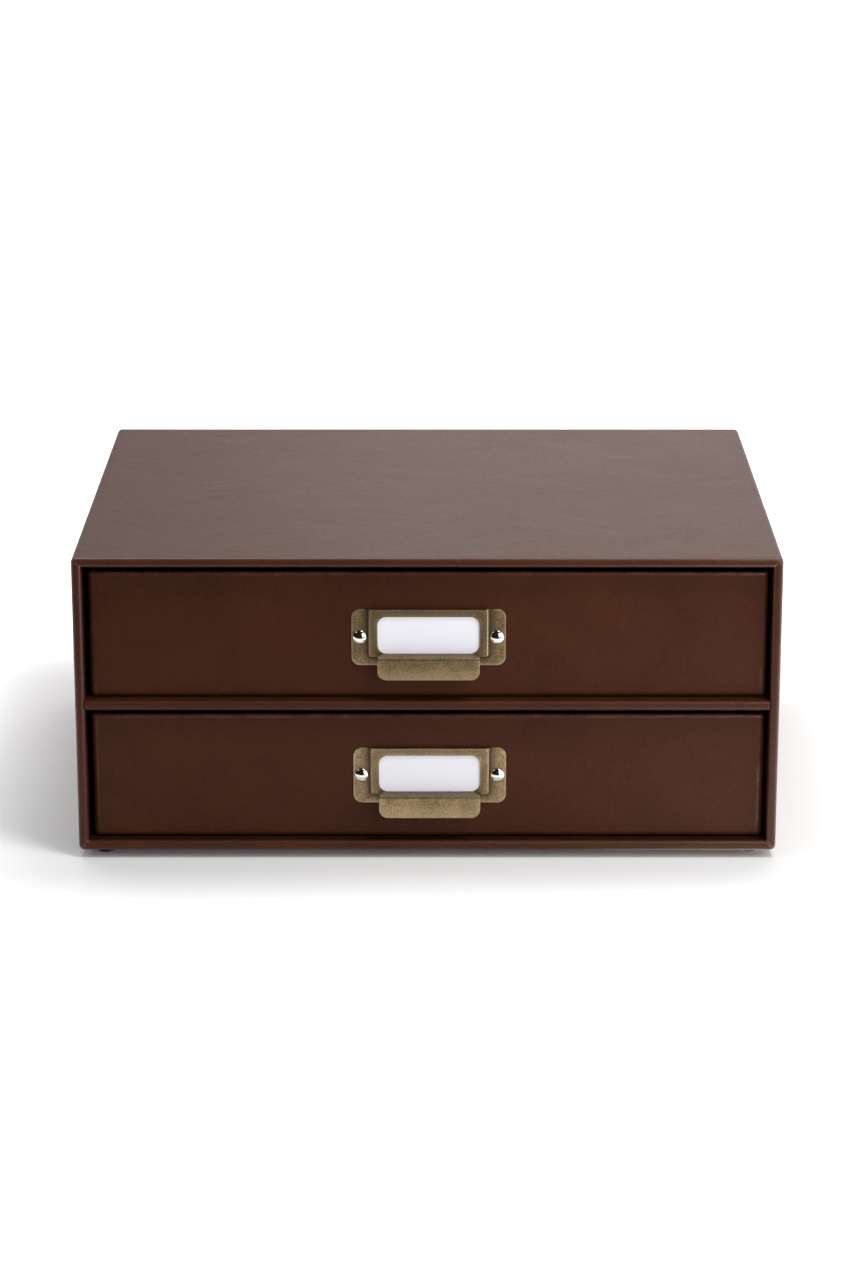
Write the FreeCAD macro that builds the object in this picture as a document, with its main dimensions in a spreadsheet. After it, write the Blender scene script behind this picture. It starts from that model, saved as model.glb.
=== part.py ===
import FreeCAD, Part
import os
import Sketcher

# Desk organizer box: a paper-covered board case on four rubber feet, with two drawers.
# The front faces -Y, +Z is up, and the origin is on the floor under the middle of the whole object.
# Lengths are in millimetres.

SIZES = [
    # case
    ("case_width", 330.0, "outside of the case, over the paper"),
    ("case_depth", 260.0, "outside of the case, front edge to back, over the paper"),
    ("case_height", 143.5, "outside of the case, without the feet"),
    ("case_board", 4.0, "greyboard of the case walls"),
    ("shelf_thickness", 4.0, "greyboard of the shelf between the drawers"),
    ("paper", 0.3, "covering paper and lining paper"),
    ("corner_round", 2.3, "long corners of the case, over the paper"),
    ("edge_round", 2.0, "front and back edges of the case, over the paper"),
    ("turn_in", 3.0, "cover paper folded into the openings, from the front edge"),
    ("turn_over", 15.0, "cover paper folded onto the back"),
    # feet
    ("foot_height", 4.0, "rubber foot, floor to case"),
    ("foot_diameter", 10.0, "where the foot is stuck to the case"),
    ("foot_contact", 6.0, "flat of the foot on the floor, diameter"),
    ("foot_side_round", 4.5, "radius of the foot's bulging side"),
    ("foot_side_inset", 11.8, "foot centre from the side of the case"),
    ("foot_end_inset", 12.0, "foot centre from the front or back of the case"),
    # drawers
    ("drawer_board", 2.5, "greyboard of the drawer walls and floor"),
    ("drawer_round", 2.6, "upright and bottom edges of a drawer, over the paper"),
    ("rim_round", 1.2, "rim of a drawer, over the paper"),
    ("drawer_recess", 6.5, "drawer front behind the front of the case"),
    ("drawer_side_gap", 2.0, "drawer to case, each side, when centred"),
    ("drawer_top_gap", 3.7, "drawer rim to the wall above"),
    ("running_gap", 0.3, "clearance under a drawer"),
    ("drawer_back_gap", 0.5, "closed drawer to the back of its opening"),
    ("rim_turn_in", 15.0, "drawer cover folded over the rim, down the inside"),
    ("upper_drawer_shift", 0.4, "upper drawer to the right of centre, in its side gap"),
    ("lower_drawer_shift", 0.35, "lower drawer to the right of centre, in its side gap"),
    # label holder with pull
    ("holder_sheet", 0.6, "brass sheet"),
    ("ear_width", 8.0, "each ear, beside the raised middle"),
    ("flange_height", 4.5, "flat brass below the raised middle"),
    ("holder_corner", 4.0, "corner radius of the ears"),
    ("upper_holder_shift", 0.2, "upper holder's centre to the right of its drawer's centre"),
    ("upper_holder_drop", 0.9, "upper holder's centre below the middle of its drawer front"),
    ("lower_holder_shift", 0.75, "lower holder's centre to the right of its drawer's centre"),
    ("lower_holder_lift", 0.5, "lower holder's centre above the middle of its drawer front"),
    ("raised_width", 56.0, "raised middle, outside"),
    ("raised_height", 22.9, "raised middle, from the holder's top edge down"),
    ("raised_step", 2.4, "drawer front to the face of the raised middle"),
    ("raised_round", 0.7, "bends of the raised middle, outside"),
    ("window_side_border", 4.2, "brass beside the window, and beside the pull tab cut out of it"),
    ("window_top_border", 3.5, "brass above the window"),
    ("window_low_border", 1.6, "brass below the window, where the pull tab starts"),
    ("window_corner", 4.2, "corners of the window and of the pull tab"),
    ("pull_reach", 6.5, "pull in front of the raised middle"),
    ("pull_bend", 1.6, "outer radius of the pull's bend"),
    ("pull_lip", 9.4, "straight part of the pull below its bend"),
    # rivets
    ("dome_diameter", 6.9, "rivet head"),
    ("dome_height", 1.7, "rivet head"),
    ("stem_diameter", 3.2, "hollow stem of the rivet cap"),
    ("bore_diameter", 2.0, "bore of the stem"),
    ("rear_head_diameter", 6.5, "rear half of the rivet"),
    ("rear_head_thickness", 0.9, "rear half of the rivet"),
    ("rear_head_round", 0.6, "rear half of the rivet, outer edge"),
    ("rivet_clearance", 0.05, "round the stem, and between post and bore"),
    ("post_end_gap", 0.4, "post to the bottom of the bore"),
    # label card
    ("card_thickness", 0.4, "label card"),
    ("card_top_gap", 0.8, "card below the holder's top edge"),
    ("card_side_gap", 0.4, "card to the holder, each side"),
    ("card_face_gap", 0.15, "card to the back of the raised middle"),
]

doc = FreeCAD.newDocument("desk_organizer_box")
sheet = doc.addObject("Spreadsheet::Sheet", "sizes")
for row, (alias, value, note) in enumerate(SIZES, start=1):
    sheet.set("A%d" % row, alias)
    sheet.set("B%d" % row, str(value))
    sheet.set("C%d" % row, note)
    sheet.setAlias("B%d" % row, alias)
doc.recompute()

# Every finished piece by the name of its file.
pieces = {}
TOUCHING = 1e-6


def number(expression):
    """The value of an expression now."""
    return float(sheet.evalExpression(expression))


def new_body(name, place):
    """An empty body whose origin is bound to three expressions."""
    body = doc.addObject("PartDesign::Body", name)
    body.Label = name
    for side, expression in zip("xyz", place):
        body.setExpression("Placement.Base." + side, expression)
    return body


def new_sketch(body, plane):
    """An empty sketch on one of the body's own planes."""
    sketch = body.newObject("Sketcher::SketchObject", body.Name + "_outline")
    origin = [item for item in body.Origin.OriginFeatures if item.Role == plane][0]
    sketch.AttachmentSupport = [(origin, "")]
    sketch.MapMode = "FlatFace"
    return sketch


def circles(body, plane, centres, radius):
    """A sketch of like circles whose centres lie on the plane's first axis."""
    sketch = new_sketch(body, plane)
    for index, across in enumerate(centres):
        centre = FreeCAD.Vector(number(across), 0, 0)
        sketch.addGeometry(Part.Circle(centre, FreeCAD.Vector(0, 0, 1), number(radius)))
        sketch.addConstraint(Sketcher.Constraint("PointOnObject", index, 3, -1))
        place = sketch.addConstraint(Sketcher.Constraint("DistanceX", -1, 1, index, 3, number(across)))
        sketch.setExpression("Constraints[%d]" % place, across)
        size = sketch.addConstraint(Sketcher.Constraint("Radius", index, number(radius)))
        sketch.setExpression("Constraints[%d]" % size, radius)
    return sketch


def arc_between(start, end, radius, turn):
    """The short arc from start to end that bends left or right."""
    chord = end - start
    towards_centre = FreeCAD.Vector(-chord.y, chord.x, 0).normalize()
    if turn == "right":
        towards_centre = -towards_centre
    rise = max(radius * radius - chord.Length * chord.Length / 4, 0) ** 0.5
    centre = (start + end) / 2 + towards_centre * rise
    circle = Part.Circle(centre, FreeCAD.Vector(0, 0, 1), radius)
    first, last = (start, end) if turn == "left" else (end, start)
    return Part.ArcOfCircle(circle, circle.parameter(first), circle.parameter(last))


def outline(body, plane, corners):
    """A closed sketch on one of the body's own planes.

    Each corner is (across, up) in expressions. With (across, up, radius, turn) the edge that
    leads to that corner is an arc.
    """
    sketch = new_sketch(body, plane)
    points = [FreeCAD.Vector(number(corner[0]), number(corner[1]), 0) for corner in corners]
    edges = []
    for index, corner in enumerate(corners):
        if len(corner) == 2:
            edges.append(Part.LineSegment(points[index - 1], points[index]))
        else:
            edges.append(arc_between(points[index - 1], points[index], number(corner[2]), corner[3]))
    sketch.addGeometry(edges)

    # Each corner joins two edges and is held at its two expressions, and each arc has its radius.
    constraints = []
    bindings = []

    def hold(constraint, expression=None):
        if expression is not None:
            bindings.append((len(constraints), expression))
        constraints.append(constraint)

    for index, corner in enumerate(corners):
        following = (index + 1) % len(corners)
        end = 1 if "right" in corner else 2
        next_start = 2 if "right" in corners[following] else 1
        hold(Sketcher.Constraint("Coincident", index, end, following, next_start))
        for kind, axis, expression in (("DistanceX", -2, corner[0]), ("DistanceY", -1, corner[1])):
            if expression == "0":
                hold(Sketcher.Constraint("PointOnObject", index, end, axis))
            else:
                hold(Sketcher.Constraint(kind, -1, 1, index, end, number(expression)), expression)
        if len(corner) > 2:
            hold(Sketcher.Constraint("Radius", index, number(corner[2])), corner[2])
    sketch.addConstraint(constraints)
    for index, expression in bindings:
        sketch.setExpression("Constraints[%d]" % index, expression)
    doc.recompute()
    for edge, asked in zip(sketch.Geometry, edges):
        middle = edge.value((edge.FirstParameter + edge.LastParameter) / 2)
        if (middle - asked.value((asked.FirstParameter + asked.LastParameter) / 2)).Length > TOUCHING:
            raise RuntimeError(sketch.Name + " was not solved as drawn")
    return sketch


def rectangle(left, low, right, high):
    """Corners of a plain rectangle."""
    return [(left, low), (right, low), (right, high), (left, high)]


def rounded_rectangle(left, low, right, high, radius):
    """Corners of a rectangle with four rounded corners."""
    return [
        (f"{left} + {radius}", low, radius, "left"),
        (f"{right} - {radius}", low),
        (right, f"{low} + {radius}", radius, "left"),
        (right, f"{high} - {radius}"),
        (f"{right} - {radius}", high, radius, "left"),
        (f"{left} + {radius}", high),
        (left, f"{high} - {radius}", radius, "left"),
        (left, f"{low} + {radius}"),
    ]


def pad(body, sketch, length, reverse=False, midplane=False):
    """Adds material along the sketch's normal, or against it."""
    feature = body.newObject("PartDesign::Pad", body.Name + "_pad")
    feature.Profile = sketch
    feature.Reversed = reverse
    feature.Midplane = midplane
    feature.setExpression("Length", length)
    sketch.Visibility = False
    doc.recompute()
    return feature


def pocket(body, sketch, length=None, reverse=False):
    """Takes material away, against the sketch's normal or along it, and tests that it did."""
    before = body.Shape.Volume
    feature = body.newObject("PartDesign::Pocket", body.Name + "_pocket")
    feature.Profile = sketch
    feature.Reversed = reverse
    if length is None:
        feature.Type = "ThroughAll"
    else:
        feature.setExpression("Length", length)
    sketch.Visibility = False
    doc.recompute()
    if feature.Shape.Volume > before - TOUCHING:
        raise RuntimeError(feature.Name + " cuts nothing")
    return feature


def revolve(body, sketch):
    """Turns a sketch round its own upright axis."""
    feature = body.newObject("PartDesign::Revolution", body.Name + "_turned")
    feature.Profile = sketch
    feature.ReferenceAxis = (sketch, ["V_Axis"])
    feature.Angle = 360
    sketch.Visibility = False
    doc.recompute()
    return feature


def fillet(body, radius, chosen):
    """Rounds the edges of the body's last feature for which chosen(points) is true."""
    base = body.Tip
    names = []
    for index, edge in enumerate(base.Shape.Edges, start=1):
        if chosen([vertex.Point for vertex in edge.Vertexes]):
            names.append("Edge%d" % index)
    feature = body.newObject("PartDesign::Fillet", body.Name + "_round")
    feature.Base = (base, names)
    feature.setExpression("Radius", radius)
    doc.recompute()
    return feature


def near(value, *targets):
    """True where a length matches one of the targets."""
    return any(abs(value - target) < 1e-4 for target in targets)


def block(name, x, y, z):
    """A box given by the low and high expression on each axis."""
    box = doc.addObject("Part::Box", name)
    for side, length, (low, high) in (("x", "Length", x), ("y", "Width", y), ("z", "Height", z)):
        box.setExpression(length, f"({high}) - ({low})")
        box.setExpression("Placement.Base." + side, low)
    return box


def boolean(kind, name, base, tool):
    """Part::Common or Part::Cut of two objects."""
    result = doc.addObject("Part::" + kind, name)
    result.Label = name
    result.Base = base
    result.Tool = tool
    return result


def group(name, links):
    """Like solids kept together as one piece."""
    result = doc.addObject("Part::Compound", name)
    result.Label = name
    result.Links = links
    return result


def inset(low, high, amount):
    """Both ends of a span moved inwards."""
    return f"({low} + {amount})", f"({high} - {amount})"


def open_box(name, plane, place, across, up, deep, wall, long_round, mouth_round, base_round):
    """A hollow box whose open face lies on a plane of the body, with rounded outer edges and mouth.

    The box reaches from the plane against its normal. All sizes are expressions.
    """
    body = new_body(name, place)
    pad(body, outline(body, plane, rectangle("0", "0", across, up)), deep, reverse=True)
    upright = {"XZ_Plane": ("x", "z", "y"), "XY_Plane": ("x", "y", "z")}[plane]

    def split(point):
        return [getattr(point, axis) for axis in upright]

    def runs_deep(points):
        depths = [split(point)[2] for point in points]
        return len(points) == 2 and not near(depths[0], depths[1])

    def outside_at(depth):
        return lambda points: all(near(abs(split(point)[2]), depth) for point in points)

    fillet(body, long_round, runs_deep)
    fillet(body, mouth_round, outside_at(0))
    fillet(body, base_round, outside_at(number(deep)))
    mouth = rectangle(wall, wall, f"{across} - {wall}", f"{up} - {wall}")
    pocket(body, outline(body, plane, mouth), f"{deep} - {wall}")

    def at_the_mouth(points):
        for point in points:
            place_across, place_up, depth = split(point)
            if not near(depth, 0) or not near(place_across, number(wall), number(across) - number(wall)):
                return False
            if not near(place_up, number(wall), number(up) - number(wall)):
                return False
        return True

    fillet(body, mouth_round, at_the_mouth)
    return body


# Places that several pieces share.
paper = "sizes.paper"
case_wall = f"(sizes.case_board + 2 * {paper})"
shelf_wall = f"(sizes.shelf_thickness + 2 * {paper})"
drawer_wall = f"(sizes.drawer_board + 2 * {paper})"
pull_overhang = "(sizes.raised_step + sizes.pull_reach - sizes.drawer_recess)"
case_left = "(-sizes.case_width / 2)"
case_right = "(sizes.case_width / 2)"
case_front = f"(-(sizes.case_depth - {pull_overhang}) / 2)"
case_back = f"({case_front} + sizes.case_depth)"
case_bottom = "sizes.foot_height"
case_top = f"({case_bottom} + sizes.case_height)"
opening_height = f"((sizes.case_height - 2 * {case_wall} - {shelf_wall}) / 2)"
shelf_bottom = f"({case_bottom} + {case_wall} + {opening_height})"
shelf_top = f"({shelf_bottom} + {shelf_wall})"
holder_height = "(sizes.raised_height + sizes.flange_height)"
rivet_reach = "(sizes.raised_width / 2 + sizes.ear_width / 2)"
rivet_hole_radius = "(sizes.stem_diameter / 2 + sizes.rivet_clearance)"


# Case form: the outside and the hollow of the case, once at the bare boards and once over the
# paper. Boards and papers are the shares of these two forms.
def case_form(name, under):
    """The case with its surfaces a given depth under the finished paper."""
    return open_box(
        name,
        "XZ_Plane",
        (f"{case_left} + {under}", f"{case_front} + {under}", f"{case_bottom} + {under}"),
        f"(sizes.case_width - 2 * {under})",
        f"(sizes.case_height - 2 * {under})",
        f"(sizes.case_depth - 2 * {under})",
        f"({case_wall} - 2 * {under})",
        f"(sizes.corner_round - {under})",
        f"(sizes.edge_round - {under})",
        f"(sizes.edge_round - {under})",
    )


bare_case = case_form("bare_case", paper)
finished_case = case_form("finished_case", "0")

# Case boards: top and bottom run the full width, the sides stand between them, the back sits inside.
board_x = inset(case_left, case_right, paper)
board_y = inset(case_front, case_back, paper)
board_z = inset(case_bottom, case_top, paper)
hollow_x = inset(case_left, case_right, f"({paper} + sizes.case_board)")
hollow_y = inset(case_front, case_back, f"({paper} + sizes.case_board)")
hollow_z = inset(case_bottom, case_top, f"({paper} + sizes.case_board)")
case_boards = {
    "top_board": (board_x, board_y, (hollow_z[1], board_z[1])),
    "bottom_board": (board_x, board_y, (board_z[0], hollow_z[0])),
    "left_board": ((board_x[0], hollow_x[0]), board_y, hollow_z),
    "right_board": ((hollow_x[1], board_x[1]), board_y, hollow_z),
    "back_board": (hollow_x, (hollow_y[1], board_y[1]), hollow_z),
}
for name, (x, y, z) in case_boards.items():
    pieces[name] = boolean("Common", name, bare_case, block(name + "_space", x, y, z))

# Case papers: the cover is folded round the front edge into the openings and round the back edge
# onto the back. The lining takes over inside, and a sheet closes the back between the folds.
case_skin = boolean("Cut", "case_skin", finished_case, bare_case)
lining_y = (f"({case_front} + sizes.turn_in)", hollow_y[1])
lining_space = block("case_lining_space", hollow_x, lining_y, hollow_z)
sheet_x = inset(case_left, case_right, "sizes.turn_over")
sheet_z = inset(case_bottom, case_top, "sizes.turn_over")
back_space = block("back_cover_space", sheet_x, (board_y[1], case_back), sheet_z)
pieces["case_lining"] = boolean("Common", "case_lining", case_skin, lining_space)
pieces["back_cover"] = boolean("Common", "back_cover", case_skin, back_space)
unlined_skin = boolean("Cut", "unlined_skin", case_skin, lining_space)
pieces["case_cover"] = boolean("Cut", "case_cover", unlined_skin, back_space)


# Shelf: a board glued between the sides and against the back, with paper folded round its front edge.
def shelf_form(name, under):
    """The shelf with its front, top and bottom a given depth under the finished paper."""
    body = new_body(
        name,
        (f"{case_left} + {case_wall}", f"{case_front} + {under}", f"{shelf_bottom} + {under}"),
    )
    width = f"(sizes.case_width - 2 * {case_wall})"
    depth = f"(sizes.case_depth - {case_wall} - {under})"
    pad(body, outline(body, "XY_Plane", rectangle("0", "0", width, depth)), f"{shelf_wall} - 2 * {under}")
    fillet(
        body,
        f"(sizes.edge_round - {under})",
        lambda points: all(near(point.y, 0) for point in points) and near(points[0].z, points[-1].z),
    )
    return body


pieces["shelf_board"] = shelf_form("shelf_board", paper)
finished_shelf = shelf_form("finished_shelf", "0")
pieces["shelf_cover"] = boolean("Cut", "shelf_cover", finished_shelf, pieces["shelf_board"])


# Rubber foot: a stick-on dome with a flat on the floor.
def foot(name, x, y):
    """One foot at a place under the case."""
    body = new_body(name, (x, y, "0"))
    profile = [
        ("0", "0"),
        ("sizes.foot_contact / 2", "0"),
        ("sizes.foot_diameter / 2", "sizes.foot_height", "sizes.foot_side_round", "left"),
        ("0", "sizes.foot_height"),
    ]
    revolve(body, outline(body, "XZ_Plane", profile))
    return body


foot_x = inset(case_left, case_right, "sizes.foot_side_inset")
foot_y = inset(case_front, case_back, "sizes.foot_end_inset")
for end_name, y in zip(("front", "back"), foot_y):
    for side_name, x in zip(("left", "right"), foot_x):
        name = "foot_%s_%s" % (end_name, side_name)
        pieces[name] = foot(name, x, y)


# Label holder with pull: one stamped sheet. Two flat ears, a raised middle that is open at the top
# for the card, a window, and a tab cut out of the window and bent forwards and down.
def label_holder(name, place):
    """The holder with its origin on the drawer front, in the middle of the ear plate."""
    body = new_body(name, place)
    raised_half = "(sizes.raised_width / 2)"
    half = f"({raised_half} + sizes.ear_width)"
    top = f"({holder_height} / 2)"
    raised_low = f"({top} - sizes.raised_height)"
    ears = rounded_rectangle(f"-{half}", f"-{top}", half, top, "sizes.holder_corner")
    pad(body, outline(body, "XZ_Plane", ears), "sizes.holder_sheet")
    middle = rectangle(f"-{raised_half}", raised_low, raised_half, top)
    pad(body, outline(body, "XZ_Plane", middle), "sizes.raised_step")
    face = -number("sizes.raised_step")
    low = number(raised_low)

    def raised_corner(points):
        spread = near(points[0].x, points[-1].x) and near(points[0].z, low) and near(points[-1].z, low)
        return spread and any(near(point.y, face) for point in points)

    def raised_edge(points):
        on_face = all(near(point.y, face) for point in points)
        return on_face and not all(near(point.z, number(top)) for point in points)

    fillet(body, "sizes.raised_round", raised_corner)
    fillet(body, "sizes.raised_round", raised_edge)

    cavity_half = f"({raised_half} - sizes.holder_sheet)"
    cavity = rectangle(
        f"-{cavity_half}", f"{raised_low} + sizes.holder_sheet", cavity_half, f"{top} + sizes.holder_sheet"
    )
    cavity_depth = "(sizes.raised_step - sizes.holder_sheet)"
    pocket(body, outline(body, "XZ_Plane", cavity), cavity_depth, reverse=True)

    window_half = f"({raised_half} - sizes.window_side_border)"
    window_top = f"({top} - sizes.window_top_border)"
    window_low = f"({raised_low} + sizes.window_low_border)"
    window = rounded_rectangle(f"-{window_half}", window_low, window_half, window_top, "sizes.window_corner")
    pocket(body, outline(body, "XZ_Plane", window), reverse=True)

    front = "(-sizes.raised_step)"
    tip = "(-sizes.raised_step - sizes.pull_reach)"
    bend_start = f"({tip} + sizes.pull_bend)"
    bend_end = f"({window_low} - sizes.pull_bend)"
    lip_end = f"({bend_end} - sizes.pull_lip)"
    tab = [
        (front, window_low),
        (bend_start, window_low),
        (tip, bend_end, "sizes.pull_bend", "left"),
        (tip, lip_end),
        (f"{tip} + sizes.holder_sheet", lip_end),
        (f"{tip} + sizes.holder_sheet", bend_end),
        (bend_start, f"{window_low} - sizes.holder_sheet", "sizes.pull_bend - sizes.holder_sheet", "right"),
        (front, f"{window_low} - sizes.holder_sheet"),
    ]
    pad(body, outline(body, "YZ_Plane", tab), f"2 * {window_half}", midplane=True)

    def lip_corner(points):
        return all(near(point.z, number(lip_end)) for point in points) and near(points[0].x, points[-1].x)

    fillet(body, "sizes.window_corner", lip_corner)

    # The window's lower corners run on as the tab's rounded shoulders.
    for side, turn in (("-", "right"), ("", "left")):
        shoulder = [
            (f"{side}{window_half}", front),
            (f"{side}{window_half}", f"{front} - sizes.window_corner"),
            (f"{side}({window_half} - sizes.window_corner)", front, "sizes.window_corner", turn),
        ]
        pocket(body, outline(body, "XY_Plane", shoulder))

    rivet_holes = circles(body, "XZ_Plane", ("-" + rivet_reach, rivet_reach), rivet_hole_radius)
    pocket(body, rivet_holes, reverse=True)
    return body


# Rivet cap: a bright dome on the ear, with a hollow stem through the ear and the drawer front.
def rivet_cap(name, place):
    """One cap, turned about Y; its origin is on the drawer front."""
    body = new_body(name, place)
    seat = "(-sizes.holder_sheet)"
    crown = f"({seat} - sizes.dome_height)"
    dome_half = "(sizes.dome_diameter / 2)"
    dome_radius = f"(({dome_half} ^ 2 + sizes.dome_height ^ 2) / (2 * sizes.dome_height))"
    profile = [
        ("0", crown),
        (dome_half, seat, dome_radius, "left"),
        ("sizes.stem_diameter / 2", seat),
        ("sizes.stem_diameter / 2", drawer_wall),
        ("sizes.bore_diameter / 2", drawer_wall),
        ("sizes.bore_diameter / 2", paper),
        ("0", paper),
    ]
    revolve(body, outline(body, "XY_Plane", profile))
    return body


# Rivet post: the rear half, a flat head inside the drawer with a post pressed into the stem.
def rivet_post(name, place):
    """One post, turned about Y; its origin is on the drawer front."""
    body = new_body(name, place)
    post_half = "(sizes.bore_diameter / 2 - sizes.rivet_clearance)"
    head_half = "(sizes.rear_head_diameter / 2)"
    head_back = f"({drawer_wall} + sizes.rear_head_thickness)"
    profile = [
        ("0", f"{paper} + sizes.post_end_gap"),
        (post_half, f"{paper} + sizes.post_end_gap"),
        (post_half, drawer_wall),
        (head_half, drawer_wall),
        (head_half, f"{head_back} - sizes.rear_head_round"),
        (f"{head_half} - sizes.rear_head_round", head_back, "sizes.rear_head_round", "left"),
        ("0", head_back),
    ]
    revolve(body, outline(body, "XY_Plane", profile))
    return body


# Drawers: each is a paper-covered tray of five boards, with a riveted label holder on its front.
def build_drawer(level, floor, shift, holder_shift, holder_drop):
    """One drawer; floor is the surface that it runs on."""
    left = f"({case_left} + {case_wall} + sizes.drawer_side_gap + {shift})"
    right = f"({case_right} - {case_wall} - sizes.drawer_side_gap + {shift})"
    front = f"({case_front} + sizes.drawer_recess)"
    back = f"({case_back} - {case_wall} - sizes.drawer_back_gap)"
    low = f"({floor} + sizes.running_gap)"
    rim = f"({floor} + {opening_height} - sizes.drawer_top_gap)"
    holder_x = f"(({left} + {right}) / 2 + {holder_shift})"
    holder_z = f"(({low} + {rim}) / 2 - {holder_drop})"
    rivet_x = (f"{holder_x} - {rivet_reach}", f"{holder_x} + {rivet_reach}")

    drills = []
    for side_name, x in zip(("left", "right"), rivet_x):
        drill = doc.addObject("Part::Cylinder", "%s_%s_drill" % (level, side_name))
        drill.Placement = FreeCAD.Placement(FreeCAD.Vector(), FreeCAD.Rotation(FreeCAD.Vector(1, 0, 0), -90))
        drill.setExpression("Radius", rivet_hole_radius)
        drill.setExpression("Height", f"3 * {drawer_wall}")
        for axis, expression in zip("xyz", (x, f"{front} - {drawer_wall}", holder_z)):
            drill.setExpression("Placement.Base." + axis, expression)
        drills.append(drill)
    holes = group(level + "_rivet_holes", drills)

    def form(name, under):
        body = open_box(
            name,
            "XY_Plane",
            (f"{left} + {under}", f"{front} + {under}", f"{rim} - {under}"),
            f"({right} - {left} - 2 * {under})",
            f"({back} - {front} - 2 * {under})",
            f"({rim} - {low} - 2 * {under})",
            f"({drawer_wall} - 2 * {under})",
            f"(sizes.drawer_round - {under})",
            f"(sizes.rim_round - {under})",
            f"(sizes.drawer_round - {under})",
        )
        return boolean("Cut", name + "_drilled", body, holes)

    bare = form(level + "_bare_drawer", paper)
    finished = form(level + "_finished_drawer", "0")

    outer_x = inset(left, right, paper)
    outer_y = inset(front, back, paper)
    outer_z = inset(low, rim, paper)
    inner_x = inset(left, right, f"({paper} + sizes.drawer_board)")
    inner_y = inset(front, back, f"({paper} + sizes.drawer_board)")
    floor_top = f"({low} + {paper} + sizes.drawer_board)"
    boards = {
        "front_board": (outer_x, (outer_y[0], inner_y[0]), outer_z),
        "back_board": (outer_x, (inner_y[1], outer_y[1]), outer_z),
        "left_board": ((outer_x[0], inner_x[0]), inner_y, outer_z),
        "right_board": ((inner_x[1], outer_x[1]), inner_y, outer_z),
        "bottom_board": (inner_x, inner_y, (outer_z[0], floor_top)),
    }
    for board_name, (x, y, z) in boards.items():
        name = "%s_%s" % (level, board_name)
        pieces[name] = boolean("Common", name, bare, block(name + "_space", x, y, z))

    skin = boolean("Cut", level + "_drawer_skin", finished, bare)
    lining_name = level + "_drawer_lining"
    space = block(lining_name + "_space", inner_x, inner_y, (floor_top, f"({rim} - sizes.rim_turn_in)"))
    pieces[lining_name] = boolean("Common", lining_name, skin, space)
    pieces[level + "_drawer_cover"] = boolean("Cut", level + "_drawer_cover", skin, space)

    holder_place = (holder_x, front, holder_z)
    pieces[level + "_label_holder"] = label_holder(level + "_label_holder", holder_place)
    caps = []
    posts = []
    for side_name, x in zip(("left", "right"), rivet_x):
        caps.append(rivet_cap("%s_%s_cap" % (level, side_name), (x, front, holder_z)))
        posts.append(rivet_post("%s_%s_post" % (level, side_name), (x, front, holder_z)))
    pieces[level + "_rivet_caps"] = group(level + "_rivet_caps", caps)
    pieces[level + "_rivet_posts"] = group(level + "_rivet_posts", posts)

    # The card stands on the bottom fold of the raised middle.
    card_half = "(sizes.raised_width / 2 - sizes.holder_sheet - sizes.card_side_gap)"
    card_face = f"({front} - sizes.raised_step + sizes.holder_sheet + sizes.card_face_gap)"
    card_top = f"({holder_z} + {holder_height} / 2 - sizes.card_top_gap)"
    card_low = f"({holder_z} + {holder_height} / 2 - sizes.raised_height + sizes.holder_sheet)"
    card_name = level + "_label_card"
    pieces[card_name] = block(
        card_name,
        (f"{holder_x} - {card_half}", f"{holder_x} + {card_half}"),
        (card_face, f"{card_face} + sizes.card_thickness"),
        (card_low, card_top),
    )


build_drawer(
    "upper",
    shelf_top,
    "sizes.upper_drawer_shift",
    "sizes.upper_holder_shift",
    "sizes.upper_holder_drop",
)
build_drawer(
    "lower",
    f"({case_bottom} + {case_wall})",
    "sizes.lower_drawer_shift",
    "sizes.lower_holder_shift",
    "(-sizes.lower_holder_lift)",
)

doc.recompute()

# Nothing is written unless every object came out sound.
for item in doc.Objects:
    if "Invalid" in item.State or "Error" in item.State:
        raise RuntimeError("%s is in state %s" % (item.Name, item.State))
for name, piece in pieces.items():
    if piece.Shape.isNull() or not piece.Shape.isValid() or not piece.Shape.Solids:
        raise RuntimeError(name + " has no sound solid")

os.makedirs("parts", exist_ok=True)
for name, piece in sorted(pieces.items()):
    piece.Shape.exportStep("parts/%s.step" % name)
    bounds = piece.Shape.BoundBox
    print(
        "%-24s solids %d  volume %10.1f  x %7.2f %7.2f  y %7.2f %7.2f  z %7.2f %7.2f"
        % (name, len(piece.Shape.Solids), piece.Shape.Volume, bounds.XMin, bounds.XMax,
           bounds.YMin, bounds.YMax, bounds.ZMin, bounds.ZMax)
    )
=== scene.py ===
import bmesh
import bpy
import math
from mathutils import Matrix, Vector, noise
from mathutils.geometry import delaunay_2d_cdt


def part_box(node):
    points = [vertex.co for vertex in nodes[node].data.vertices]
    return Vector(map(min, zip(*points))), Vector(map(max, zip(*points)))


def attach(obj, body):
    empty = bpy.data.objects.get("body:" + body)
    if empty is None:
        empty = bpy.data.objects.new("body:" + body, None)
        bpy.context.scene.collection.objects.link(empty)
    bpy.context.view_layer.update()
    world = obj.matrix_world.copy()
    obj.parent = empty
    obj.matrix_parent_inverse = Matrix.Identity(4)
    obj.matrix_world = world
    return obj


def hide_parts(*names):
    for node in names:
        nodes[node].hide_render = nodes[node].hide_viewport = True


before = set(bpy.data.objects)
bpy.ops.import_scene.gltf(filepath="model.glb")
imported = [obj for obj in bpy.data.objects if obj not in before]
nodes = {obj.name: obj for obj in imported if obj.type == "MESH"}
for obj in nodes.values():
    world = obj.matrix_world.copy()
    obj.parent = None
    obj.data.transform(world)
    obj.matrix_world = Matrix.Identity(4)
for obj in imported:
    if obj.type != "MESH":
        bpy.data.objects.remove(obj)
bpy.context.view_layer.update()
MM = 0.001

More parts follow.
